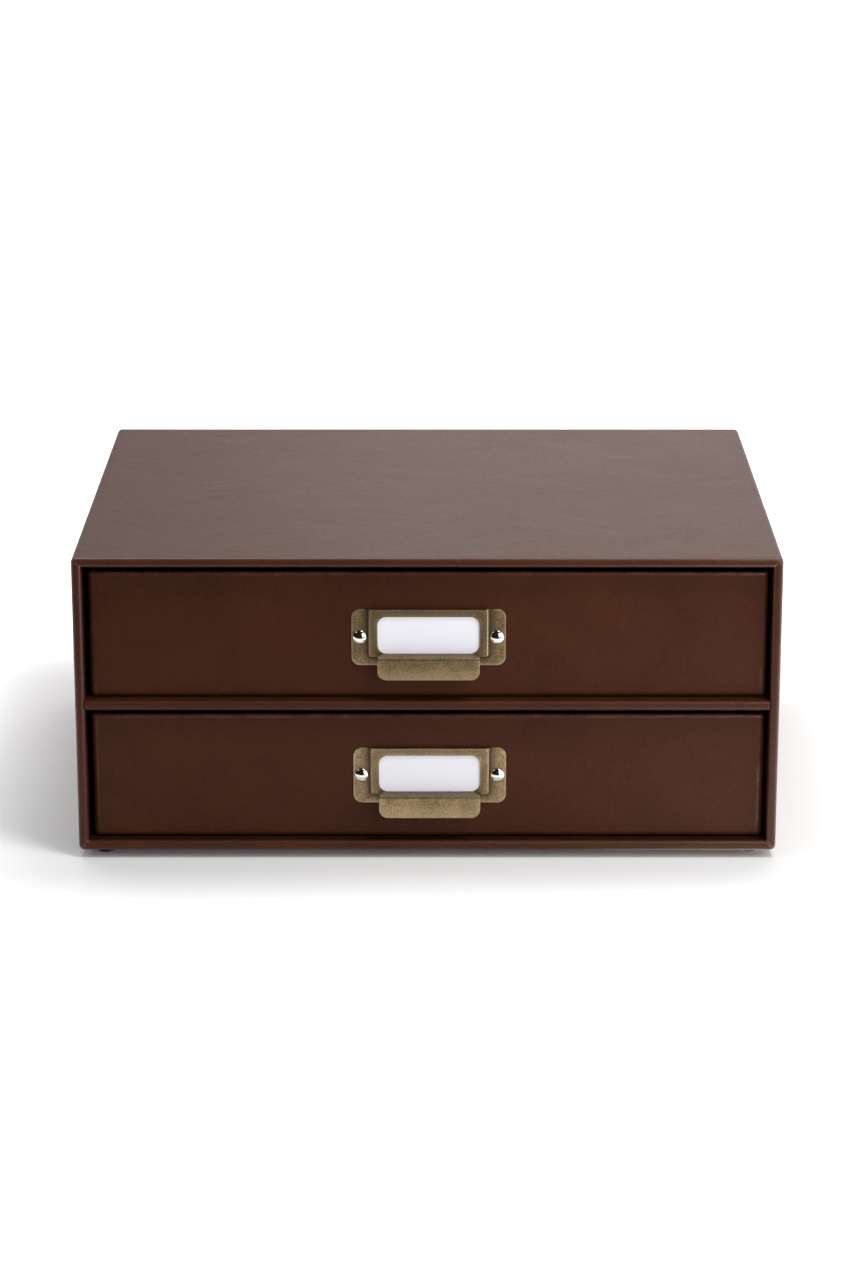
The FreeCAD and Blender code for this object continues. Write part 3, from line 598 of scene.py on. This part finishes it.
for x in edge_stations(shelf_low.x + 0.02, shelf_high.x - 0.02, 3.5, 0.9):
    row = []
    to_end = min(x - shelf_low.x, shelf_high.x - x)
    tuck = max(0.0, 1 - to_end / 2.6)
    for index, (y, z) in enumerate(shelf_path):
        before = shelf_path[max(index - 1, 0)]
        after = shelf_path[min(index + 1, len(shelf_path) - 1)]
        along = Vector((after[0] - before[0], after[1] - before[1])).normalized()
        normal = (0, -along.y, along.x)
        at_front = max(0.0, 1 - (y - shelf_low.y) / 2.5)
        depth = ripple(x, y, z, 8.0, 0.08, 4.4) * at_front + 0.14 * tuck * at_front
        rise = ripple(x, y, z, 10.0, 0.07, 6.1) * at_front
        squeeze = (shelf_middle - z) * 0.05 * tuck * at_front
        row.append(((x, y + depth, z + rise + squeeze), normal))
        # Edge amount: a little rub on the front, and painted highlight along the front fold.
        shelf_wear_and_highlight.append(0.03 * at_front + 0.18 * at_front * (1 - at_front) * 4)
    shelf_rows.append(row)
shelf_points, shelf_faces = pasted_sheet(shelf_rows, paper_thickness)
add_piece("shelf_wrap", shelf_points, shelf_faces, cover_paper, "root", ("shelf_cover",), {"edge": shelf_wear_and_highlight * 2})

# Feet: four stick-on bumpers of dark rubber, moulded as shallow domes with a flat on the table.


def turned(profile, centre, axis, steps):
    """Points and faces of a profile of (radius, height) turned round an axis through a centre."""
    points = []
    for radius, along in profile:
        for step in range(steps):
            angle = math.tau * step / steps
            a = radius * math.cos(angle)
            b = radius * math.sin(angle)
            if axis == "z":
                points.append((centre[0] + a, centre[1] + b, centre[2] + along))
            else:
                points.append((centre[0] + a, centre[1] + along, centre[2] + b))
    faces = []
    for row in range(len(profile) - 1):
        for step in range(steps):
            right = (step + 1) % steps
            faces.append((row * steps + step, row * steps + right, (row + 1) * steps + right, (row + 1) * steps + step))
    return points, faces


foot_rubber, tree = material_for("foot_rubber")
place = place_on(tree)
bloom = node(tree, "ShaderNodeTexNoise", Vector=place, Scale=0.8, Detail=4.0)
rubber_tone = node(tree, "ShaderNodeValToRGB", Fac=bloom.outputs["Fac"])
rubber_tone.color_ramp.elements[0].color = (0.012, 0.012, 0.013, 1)
rubber_tone.color_ramp.elements[1].color = (0.035, 0.034, 0.034, 1)
rubber_skin = node(tree, "ShaderNodeTexNoise", Vector=place, Scale=6.0, Detail=2.0)
rubber_bump = node(tree, "ShaderNodeBump", Height=rubber_skin.outputs["Fac"], Strength=0.2, Distance=0.03 * MM)
rubber_gloss = node(tree, "ShaderNodeMapRange", Value=bloom.outputs["Fac"], To_Min=0.3, To_Max=0.55)
finish_material(tree, node(tree, "ShaderNodeBsdfPrincipled", Base_Color=rubber_tone.outputs[0], Roughness=rubber_gloss.outputs[0],
                           Specular_IOR_Level=0.5, Normal=rubber_bump.outputs[0]))
foot_height = 4.0
foot_profile = [(0.001, 0.0), (1.5, 0.0), (2.75, 0.0), (2.92, 0.03), (3.05, 0.12)]
bulge_centre = (0.735, 4.0 - 1.38)
for share in (0.08, 0.2, 0.35, 0.5, 0.65, 0.8, 0.92):
    # a bulging side from the contact to the glued rim
    foot_profile.append((3.05 + 1.95 * math.sin(share * math.pi / 2), 0.12 + 3.68 * (1 - math.cos(share * math.pi / 2))))
foot_profile += [(5.0, 3.84), (4.97, 3.95), (4.88, 4.0), (2.0, 4.0), (0.001, 4.0)]
for name in ("foot_front_left", "foot_front_right", "foot_back_left", "foot_back_right"):
    low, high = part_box(name)
    centre = ((low.x + high.x) / 2 / MM, (low.y + high.y) / 2 / MM, 0)
    points, faces = turned(foot_profile, centre, "z", 48)
    add_piece(name.replace("foot", "bumper"), points, faces, foot_rubber, "root", (name,), sharp_angle=50)

# Drawers: trays of thin grey board, wrapped outside in the cover's grained paper. The paper turns over
# the rim and down the inside, where plain lining paper, dark as painted shade, takes over. The folds meet in mitres on
# the rim.
drawer_wall = 3.1
drawer_round = 2.6
rim_round = 1.2
rim_turn_in = 15.0
drawer_seeds = {"upper": 11.0, "lower": 23.0}
for level in ("upper", "lower"):
    for part in ("front_board", "back_board", "left_board", "right_board", "bottom_board"):
        dress(level + "_" + part, greyboard)
    dress(level + "_drawer_lining", lining_paper)

    low, high = (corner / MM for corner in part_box(level + "_drawer_cover"))
    middle = (low + high) / 2
    half_x = (high.x - low.x) / 2
    half_y = (high.y - low.y) / 2
    drawer_path = [(118.0, low.z)]
    drawer_path += spaced((118.0, low.z), (3.4, low.z), 14.0)
    drawer_path += [(3.4, low.z)]
    drawer_path += arc((drawer_round, low.z + drawer_round), drawer_round, -90, -180, 9)
    drawer_path += [(0, low.z + 3.4)]
    drawer_path += spaced((0, low.z + 3.4), (0, high.z - 1.8), 5.0)
    drawer_path += [(0, high.z - 1.8)]
    drawer_path += arc((rim_round, high.z - rim_round), rim_round, 180, 90, 6)
    drawer_path += arc((drawer_wall - rim_round, high.z - rim_round), rim_round, 90, 0, 6)
    drawer_path += spaced((drawer_wall, high.z - rim_round), (drawer_wall, high.z - rim_turn_in), 4.0)
    drawer_path += [(drawer_wall + 0.06, high.z - rim_turn_in + 0.5), (drawer_wall + 0.06, high.z - rim_turn_in)]
    drawer_profile = thickened(drawer_path, -paper_thickness)
    seed = drawer_seeds[level]
    drawer_points = []
    drawer_rings = []
    drawer_wear_and_highlight = []
    for inset, z in drawer_profile:
        radius = max(drawer_round - inset, inner_corner)
        row = []
        for x, y, corner, turn in ring(half_x - inset, half_y - inset, radius, wide_stations, even_stations(60, (0.004, 0.008))):
            on_rim = max(0.0, 1 - (high.z - z) / 1.8)
            on_low = max(0.0, 1 - (z - low.z) / 2.0) if inset < 2 else 0.0
            on_wall = 1.0 if inset < 6 else 0.0
            swell = on_wall * (ripple(x, y, z, 80.0, 0.14, seed) + ripple(x, y, z, 8.0, 0.05, seed + 2))
            flutter = on_rim * ripple(x, y, z, 6.5, 0.10, seed + 5)
            drop = on_rim * (ripple(x, y, z, 9.0, 0.10, seed + 7) - 0.1)
            if turn is not None:
                drop -= on_rim * mitre_depth * max(0.0, 1 - abs(turn - 0.5) * 4)
                flutter += 0.16 * on_low * (1 - abs(turn - 0.5))
            outward = Vector((x / half_x, y / half_y)).normalized() * (swell * 0.6 + flutter)
            row.append((x + middle.x + outward.x, y + middle.y + outward.y, z + drop))
            # The lighter rim, upright folds and low corners are partly rub and partly painted highlight and glint
            # points.
            rim_wear_and_highlight = max(0.0, on_rim * (1.0 + ripple(x, y, z, 5.0, 1.0, seed + 9)))
            upright_wear_and_highlight = 0.0
            if turn is not None and inset < 1:
                upright_wear_and_highlight = max(0.0, 0.05 + ripple(x, y, z, 7.0, 0.16, seed + 12))
            drawer_wear_and_highlight.append(max(rim_wear_and_highlight, upright_wear_and_highlight, on_low * (0.5 if turn is not None else 0.08)))
        drawer_points += row
        drawer_rings.append(row)
    faces = closed_grid(drawer_rings)[: (len(drawer_rings) - 1) * len(drawer_rings[0])]
    ring_size = len(drawer_rings[0])
    last = (len(drawer_rings) - 1) * ring_size
    faces.append(tuple(range(ring_size)))
    faces.append(tuple(range(last, last + ring_size)))
    add_piece(level + "_drawer_wrap", drawer_points, faces, cover_paper, level + "_drawer",
              (level + "_drawer_cover",), {"edge": drawer_wear_and_highlight})

# Label holders: one brass stamping each, dipped to an antique finish. Two flat ears are riveted to the
# drawer front, the raised middle takes the card from above, and the tab that was cut out of the window
# is bent forwards and down as the pull.
antique_brass, tree = material_for("antique_brass")
place = place_on(tree)
patina = use_group(tree, cloudiness, Place=place, Blotch_Size=9.0)
speckle = node(tree, "ShaderNodeTexNoise", Vector=place, Scale=1.5, Detail=3.0, Roughness=0.7)
speckle_step = node(tree, "ShaderNodeMapRange", Value=speckle.outputs["Fac"], From_Min=0.42, From_Max=0.6)
brushed = node(tree, "ShaderNodeTexNoise", Vector=place, Scale=5.0, Detail=2.0)
bright_share = node(tree, "ShaderNodeMath", operation="MULTIPLY_ADD", i0=speckle_step.outputs[0], i1=0.55, i2=0.0)
brass_share = node(tree, "ShaderNodeMath", operation="MULTIPLY_ADD", i0=patina.outputs["Amount"], i1=0.4, i2=bright_share.outputs[0])
brass_tone = node(tree, "ShaderNodeMix", data_type="RGBA")
tree.links.new(brass_share.outputs[0], brass_tone.inputs[0])
brass_tone.inputs[6].default_value = (0.130, 0.091, 0.046, 1)
brass_tone.inputs[7].default_value = (0.42, 0.30, 0.16, 1)
rub = node(tree, "ShaderNodeAttribute", attribute_name="edge")
edge_lightening = node(tree, "ShaderNodeMath", operation="MULTIPLY", i0=rub.outputs["Fac"], i1=0.7)
lighter_at_edges = node(tree, "ShaderNodeMix", data_type="RGBA")
tree.links.new(edge_lightening.outputs[0], lighter_at_edges.inputs[0])
tree.links.new(brass_tone.outputs[2], lighter_at_edges.inputs[6])
lighter_at_edges.inputs[7].default_value = (0.72, 0.57, 0.37, 1)
# Darker where the mesh's attribute says so: real patina at the foot of the raised middle, and painted shade round the
# pull's root, on the raised strips beside and above the window, and over the pull's root and flat.
patina_and_shade = node(tree, "ShaderNodeAttribute", attribute_name="patina_and_shade_mask")
patinated_and_shaded_tone = node(tree, "ShaderNodeMix", data_type="RGBA")
tree.links.new(patina_and_shade.outputs["Fac"], patinated_and_shaded_tone.inputs[0])
tree.links.new(lighter_at_edges.outputs[2], patinated_and_shaded_tone.inputs[6])
patinated_and_shaded_tone.inputs[7].default_value = (0.07, 0.052, 0.033, 1)
brass_rough = node(tree, "ShaderNodeMapRange", Value=brass_share.outputs[0], To_Min=0.50, To_Max=0.38)
brass_bump = node(tree, "ShaderNodeBump", Height=speckle.outputs["Fac"], Strength=0.3, Distance=0.03 * MM)
brass_fine = node(tree, "ShaderNodeBump", Height=brushed.outputs["Fac"], Strength=0.2, Distance=0.01 * MM, Normal=brass_bump.outputs[0])
finish_material(tree, node(tree, "ShaderNodeBsdfPrincipled", Base_Color=patinated_and_shaded_tone.outputs[2], Metallic=1.0,
                           Roughness=brass_rough.outputs[0], Normal=brass_fine.outputs[0]))

ear_half_width = 36.0
ear_half_height = 13.7
ear_corner = 4.0
brass_sheet = 0.6
raised_half_width = 28.0
raised_low = -9.2
raised_corner = 1.3
window_half_width = 23.8
window_low = -7.6
window_high = 10.2
window_corner = 4.2
rivet_reach = 32.0
rivet_hole = 1.65
edge_softness = 0.16
under_softness = 0.1
# Height over the drawer front, by the distance inwards from the foot of the step.
step_front = (
    (-0.5, 0.6), (-0.28, 0.64), (-0.1, 0.79), (-0.02, 1.0), (0.05, 1.5), (0.1, 1.82), (0.2, 2.1), (0.38, 2.29), (0.62, 2.38), (0.8, 2.4),
)
step_under = ((0.42, 0.0), (0.55, 0.1), (0.65, 0.35), (0.69, 0.9), (0.75, 1.3), (0.9, 1.62), (1.12, 1.8))


def inward(x, z, half_x, half_z, radius):
    """Distance inwards from a rounded rectangle round the origin; negative outside."""
    across = abs(x) - (half_x - radius)
    along = abs(z) - (half_z - radius)
    return radius - math.hypot(max(across, 0), max(along, 0)) - min(max(across, along), 0)


def table_value(table, place):
    """Straight-line value between the rows of a table."""
    if place <= table[0][0]:
        return table[0][1]
    for (start, first), (end, last) in zip(table, table[1:]):
        if place <= end:
            return first + (last - first) * (place - start) / (end - start)
    return table[-1][1]


def edge_drop(distance, softness):
    """How far a softened edge falls below the face at a distance from the outline."""
    if distance >= softness:
        return 0.0
    share = 1 - max(distance, 0.0) / softness
    return softness * (1 - math.sqrt(max(0.0, 1 - share * share)))


def rounded_loop(half_x, half_z, radius, centre_z, steps, spacing, extra_top=()):
    """Points round a rounded rectangle, about a spacing apart on its sides."""
    corners = ((1, 1, 0), (-1, 1, 90), (-1, -1, 180), (1, -1, 270))
    loop = []
    for number, (side_x, side_z, start) in enumerate(corners):
        centre = (side_x * (half_x - radius), side_z * (half_z - radius) + centre_z)
        loop += arc(centre, radius, start, start + 90, steps)
        following = corners[(number + 1) % 4]
        end_centre = (following[0] * (half_x - radius), following[1] * (half_z - radius) + centre_z)
        turn = math.radians(start + 90)
        end = (end_centre[0] + radius * math.cos(turn), end_centre[1] + radius * math.sin(turn))
        between = spaced(loop[-1], end, spacing)
        if number == 0:
            between += [(x, half_z + centre_z) for x in extra_top]
            between.sort(key=lambda point: -point[0])
        loop += between
    return loop


def cut_sheet(outlines, face_lines, under_lines, loose, edge_distance, face_place, under_place):
    """A cut and formed sheet: both sides in triangles, joined along every outline.

    outlines are closed loops in the flat; edge_distance(x, z) is positive in the material.
    """
    def triangles(lines, softness):
        points = []
        edges = []
        for loop in outlines:
            start = len(points)
            points += loop
            edges += [(start + k, start + (k + 1) % len(loop)) for k in range(len(loop))]
        for line in lines:
            start = len(points)
            points += line
            edges += [(start + k, start + k + 1) for k in range(len(line) - 1)]
        points += loose
        flat, _, found, *_ = delaunay_2d_cdt([Vector(point) for point in points], edges, [], 0, 1e-4)
        kept = []
        for face in found:
            middle = sum((flat[index] for index in face), Vector((0, 0))) / 3
            if edge_distance(middle.x, middle.y) > 1e-4:
                kept.append(tuple(face))
        return flat, kept

    face_flat, face_found = triangles(face_lines, edge_softness)
    under_flat, under_found = triangles(under_lines, under_softness)
    vertices = [face_place(point.x, point.y) for point in face_flat] + [under_place(point.x, point.y) for point in under_flat]
    first_under = len(face_flat)
    faces = face_found + [tuple(index + first_under for index in reversed(face)) for face in under_found]
    face_at = {(round(point.x, 3), round(point.y, 3)): index for index, point in enumerate(face_flat)}
    under_at = {(round(point.x, 3), round(point.y, 3)): index + first_under for index, point in enumerate(under_flat)}
    for loop in outlines:
        keys = [(round(x, 3), round(z, 3)) for x, z in loop]
        for key, following in zip(keys, keys[1:] + keys[:1]):
            faces.append((face_at[key], face_at[following], under_at[following], under_at[key]))
    flat_places = [(point.x, point.y) for point in face_flat] + [(point.x, point.y) for point in under_flat]
    return vertices, faces, flat_places


def raised_inset(x, z):
    """Distance inwards from the foot of the raised middle, which is open at the top."""
    centre = raised_low + 25.0
    return inward(x, z - centre, raised_half_width, 25.0, raised_corner)


def window_inset(x, z):
    """Distance into the material from the window's outline."""
    centre = (window_low + window_high) / 2
    return -inward(x, z - centre, window_half_width, (window_high - window_low) / 2, window_corner)


def ear_plate_edge(x, z):
    """Distance into the material from the nearest outline."""
    holes = min(math.hypot(abs(x) - rivet_reach, z) - rivet_hole, window_inset(x, z))
    return min(inward(x, z, ear_half_width, ear_half_height, ear_corner), holes)


def plate_face(x, z):
    return (x, -(table_value(step_front, raised_inset(x, z)) - edge_drop(ear_plate_edge(x, z), edge_softness)), z)


def plate_under(x, z):
    return (x, -(table_value(step_under, raised_inset(x, z)) + edge_drop(ear_plate_edge(x, z), under_softness)), z)


def step_line(inset):
    """The line round the raised middle at a distance inwards from its foot."""
    radius = max(raised_corner - inset, 0.02)
    half = raised_half_width - inset
    low = raised_low + inset
    line = [(-half, ear_half_height)] + spaced((-half, ear_half_height), (-half, low + radius), 2.5)
    line += arc((-half + radius, low + radius), radius, 180, 270, 5)
    line += spaced((-half + radius, low), (half - radius, low), 3.0)
    line += arc((half - radius, low + radius), radius, 270, 360, 5)
    line += spaced((half, low + radius), (half, ear_half_height), 2.5) + [(half, ear_half_height)]
    return line


def plate_loops(inset, crossings=()):
    """Ear plate, window and rivet hole outlines, drawn a distance into the material."""
    window_middle = (window_low + window_high) / 2
    loops = [
        rounded_loop(ear_half_width - inset, ear_half_height - inset, ear_corner - inset, 0, 10, 3.0, crossings),
        rounded_loop(window_half_width + inset, (window_high - window_low) / 2 + inset, window_corner + inset, window_middle, 10, 3.0),
    ]
    for side in (-1, 1):
        loops.append(arc((side * rivet_reach, 0), rivet_hole + inset, 0, 345, 23))
    return loops


def closed(loop):
    """A loop drawn as a line that ends where it starts."""
    return loop + loop[:1]


crossings = {side * (raised_half_width - inset) for side in (-1, 1) for inset, _ in step_front + step_under}
plate_outlines = plate_loops(0.0, crossings)
plate_face_lines = [step_line(inset) for inset, _ in step_front]
plate_under_lines = [step_line(inset) for inset, _ in step_under]
for share in (0.3, 1.0):
    plate_face_lines += [closed(loop) for loop in plate_loops(edge_softness * share)]
    plate_under_lines += [closed(loop) for loop in plate_loops(under_softness * share)]
plate_loose = []
for column in range(-14, 15):
    for row in range(-5, 6):
        x, z = column * 2.5, row * 2.5
        if ear_plate_edge(x, z) > 0.7 and not -1.2 < raised_inset(x, z) < 2.0:
            plate_loose.append((x, z))
plate_points, plate_faces, plate_flat = cut_sheet(
    plate_outlines, plate_face_lines, plate_under_lines, plate_loose, ear_plate_edge, plate_face, plate_under)

# The pull, drawn flat and then bent: a short root in the sheet, a flat, a quarter bend and a lip.
pull_root = 0.7
pull_flat = 4.9
pull_bend = 1.6
pull_lip = 9.4
pull_start = (-1.9, -7.75)
pull_top = -7.58
pull_face_y = -2.4
pull_arc = pull_bend * math.pi / 2
pull_length = pull_root + pull_flat + pull_arc + pull_lip


def pull_edge(x, s):
    """Distance into the pull's material from its outline, in the flat."""
    return inward(x, s - pull_length / 2, window_half_width, pull_length / 2, window_corner)


def pull_place(x, s, depth):
    """A point of the bent pull, a depth under its outer face."""
    bend_centre = (pull_face_y - pull_flat, pull_top - pull_bend)
    if s < pull_root:
        share = s / pull_root
        smooth = share * share * (3 - 2 * share)
        y = pull_start[0] + (pull_face_y - pull_start[0]) * share
        z = pull_start[1] + (pull_top - pull_start[1]) * smooth
        return (x, y, z - depth)
    if s < pull_root + pull_flat:
        return (x, pull_face_y - (s - pull_root), pull_top - depth)
    turn = min((s - pull_root - pull_flat) / pull_bend, math.pi / 2)
    radius = pull_bend - depth
    beyond = max(s - pull_root - pull_flat - pull_arc, 0.0)
    return (x, bend_centre[0] - radius * math.sin(turn), bend_centre[1] + radius * math.cos(turn) - beyond)


def pull_face(x, s):
    return pull_place(x, s, edge_drop(pull_edge(x, s), edge_softness))


def pull_under(x, s):
    return pull_place(x, s, brass_sheet - edge_drop(pull_edge(x, s), under_softness))


pull_rows = [0.25, 0.5, pull_root, pull_root + 1.2]
pull_rows += [pull_root + pull_flat + pull_arc * k / 8 for k in range(9)]
pull_rows += [pull_root + 3.0, pull_length - pull_lip + 1.6, pull_length - pull_lip + 3.2]
pull_half = window_half_width
pull_outline = rounded_loop(pull_half, pull_length / 2, window_corner, pull_length / 2, 10, 3.0)


def across_line(s):
    """A line over the pull at one place along it, a little inside its outline."""
    half = pull_half - 0.2
    while pull_edge(half, s) < 0.19:
        half -= 0.05
    return [(-half, s)] + spaced((-half, s), (half, s), 3.0) + [(half, s)]


pull_lines = [across_line(s) for s in pull_rows]
pull_face_lines = list(pull_lines)
pull_under_lines = list(pull_lines)
for share in (0.3, 1.0):
    for lines, softness in ((pull_face_lines, edge_softness), (pull_under_lines, under_softness)):
        inset = softness * share
        lines.append(closed(rounded_loop(pull_half - inset, pull_length / 2 - inset, window_corner - inset, pull_length / 2, 10, 3.0)))
pull_points, pull_faces, pull_flat_places = cut_sheet(
    [pull_outline], pull_face_lines, pull_under_lines, [], pull_edge, pull_face, pull_under)

for level in ("upper", "lower"):
    low, high = (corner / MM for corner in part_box(level + "_label_holder"))
    origin = Vector(((low.x + high.x) / 2, high.y, high.z - ear_half_height))
    points = [(x + origin.x, y + origin.y, z + origin.z) for x, y, z in plate_points + pull_points]
    faces = plate_faces + [tuple(index + len(plate_points) for index in face) for face in pull_faces]
    rubbed_edges = []
    patina_and_shade_masks = []
    for x, z in plate_flat:
        step = raised_inset(x, z)
        rubbed_edges.append(max(1 - ear_plate_edge(x, z) / 0.25, 1 - abs(step - 0.25) / 0.25, 0.0))
        # The foot of the step gets patina; the pull's root, the raised side strips (darker towards the bottom) and the
        # raised top strip get painted shade.
        near_foot = max(0.0, 1 - abs(step + 0.4) / 3.0) if step < 0 else 0.0
        near_root = max(0.0, 1 - math.hypot((abs(x) - 24.6) / 2.4, (z - window_low) / 3.4))
        on_side_strip = min(max((step - 0.9) / 0.8, 0.0), 1.0) * min(max((12.0 - z) / 16.0, 0.0), 1.0)
        on_top_strip = 0.28 if z > window_high - 1.0 and step > 0.9 else 0.0
        patina_and_shade_masks.append(max(min(1.15 * near_foot ** 1.1, 0.95), 0.75 * near_root, 0.42 * on_side_strip, on_top_strip))
    for x, s in pull_flat_places:
        rubbed_edges.append(max(1 - pull_edge(x, s) / 0.25, 0.0))
        # Painted shade over the pull's root and flat.
        patina_and_shade_masks.append(0.60 * min(max((pull_root + pull_flat + 0.6 - s) / 1.4, 0.0), 1.0))
    add_piece(level + "_holder_and_pull", points, faces, antique_brass, level + "_drawer",
              (level + "_label_holder",), {"edge": rubbed_edges, "patina_and_shade_mask": patina_and_shade_masks}, sharp_angle=60)

# Rivets: a hollow-stemmed cap of bright nickel on each ear, and a flat rear half pressed into it from
# inside the drawer.
nickel, tree = material_for("nickel")
place = place_on(tree)
haze = node(tree, "ShaderNodeTexNoise", Vector=place, Scale=1.2, Detail=5.0, Roughness=0.7)
nickel_tone = node(tree, "ShaderNodeValToRGB", Fac=haze.outputs["Fac"])
nickel_tone.color_ramp.elements[0].color = (0.62, 0.58, 0.53, 1)
nickel_tone.color_ramp.elements[1].color = (0.80, 0.77, 0.72, 1)
nickel_rough = node(tree, "ShaderNodeMapRange", Value=haze.outputs["Fac"], To_Min=0.05, To_Max=0.16)
nickel_bump = node(tree, "ShaderNodeBump", Height=haze.outputs["Fac"], Strength=0.08, Distance=0.02 * MM)
finish_material(tree, node(tree, "ShaderNodeBsdfPrincipled", Base_Color=nickel_tone.outputs[0], Metallic=1.0,
                           Roughness=nickel_rough.outputs[0], Normal=nickel_bump.outputs[0]))
dome_half = 3.45
dome_height = 1.7
dome_radius = 5.1
crown_spread = math.radians(37)
ear_face = -brass_sheet
cap_profile = [(0.001, ear_face - dome_height)]
for step in range(1, 15):
    spread = crown_spread * step / 14
    cap_profile.append((dome_radius * math.sin(spread), ear_face - dome_height + dome_radius * (1 - math.cos(spread))))
cap_profile += [(3.2, ear_face - 0.56), (3.31, ear_face - 0.42), (3.39, ear_face - 0.27), (3.44, ear_face - 0.15), (dome_half, ear_face - 0.08),
                (3.43, ear_face - 0.02), (3.36, ear_face), (1.6, ear_face),
                (1.6, 3.05), (1.55, drawer_wall), (1.0, drawer_wall), (1.0, 0.3), (0.001, 0.3)]
post_profile = [(0.001, 0.7), (0.85, 0.7), (0.95, 0.8), (0.95, drawer_wall), (3.2, drawer_wall), (3.25, drawer_wall + 0.06)]
post_profile += [(3.25, drawer_wall + 0.3)] + [(radius, drawer_wall + along) for radius, along in arc((2.65, 0.3), 0.6, 12, 90, 6)]
post_profile += [(1.4, drawer_wall + 0.9), (1.25, drawer_wall + 0.84), (0.9, drawer_wall + 0.8), (0.001, drawer_wall + 0.8)]
for level in ("upper", "lower"):
    low, high = (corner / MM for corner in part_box(level + "_label_holder"))
    origin = Vector(((low.x + high.x) / 2, high.y, high.z - ear_half_height))
    for kind, profile, node_name in (("cap", cap_profile, "_rivet_caps"), ("rear", post_profile, "_rivet_posts")):
        points = []
        faces = []
        for side in (-1, 1):
            more_points, more_faces = turned(profile, (origin.x + side * rivet_reach, origin.y, origin.z), "y", 64)
            faces += [tuple(index + len(points) for index in face) for face in more_faces]
            points += more_points
        add_piece("%s_rivet_%s_pair" % (level, kind), points, faces, nickel, level + "_drawer", (level + node_name,), sharp_angle=40)

# Label cards: plain white card cut to slide in behind the window; it stands on the bottom fold.
card_stock, tree = material_for("card_stock")
place = place_on(tree)
felt = node(tree, "ShaderNodeTexNoise", Vector=place, Scale=4.0, Detail=4.0, Roughness=0.65)
card_tone = node(tree, "ShaderNodeValToRGB", Fac=felt.outputs["Fac"])
card_tone.color_ramp.elements[0].color = (0.86, 0.86, 0.92, 1)
card_tone.color_ramp.elements[1].color = (0.90, 0.90, 0.96, 1)
card_bump = node(tree, "ShaderNodeBump", Height=felt.outputs["Fac"], Strength=0.2, Distance=0.02 * MM)
finish_material(tree, node(tree, "ShaderNodeBsdfPrincipled", Base_Color=card_tone.outputs[0], Roughness=0.7,
                           Specular_IOR_Level=0.3, Normal=card_bump.outputs[0]))
for level in ("upper", "lower"):
    low, high = (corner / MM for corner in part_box(level + "_label_card"))
    rows = []
    for z in edge_stations(low.z + 0.02, high.z, 2.0, 0.06):
        row = []
        for x in edge_stations(low.x, high.x, 3.0, 0.06):
            at_edge = min(x - low.x, high.x - x, z - low.z - 0.02, high.z - z) < 0.03
            row.append(((x, low.y + 0.02 + (0.05 if at_edge else 0.0), z), (0, -1, 0)))
        rows.append(row)
    points, faces = pasted_sheet(rows, high.y - low.y - 0.05)
    add_piece(level + "_card", points, faces, card_stock, level + "_label", (level + "_label_card",))
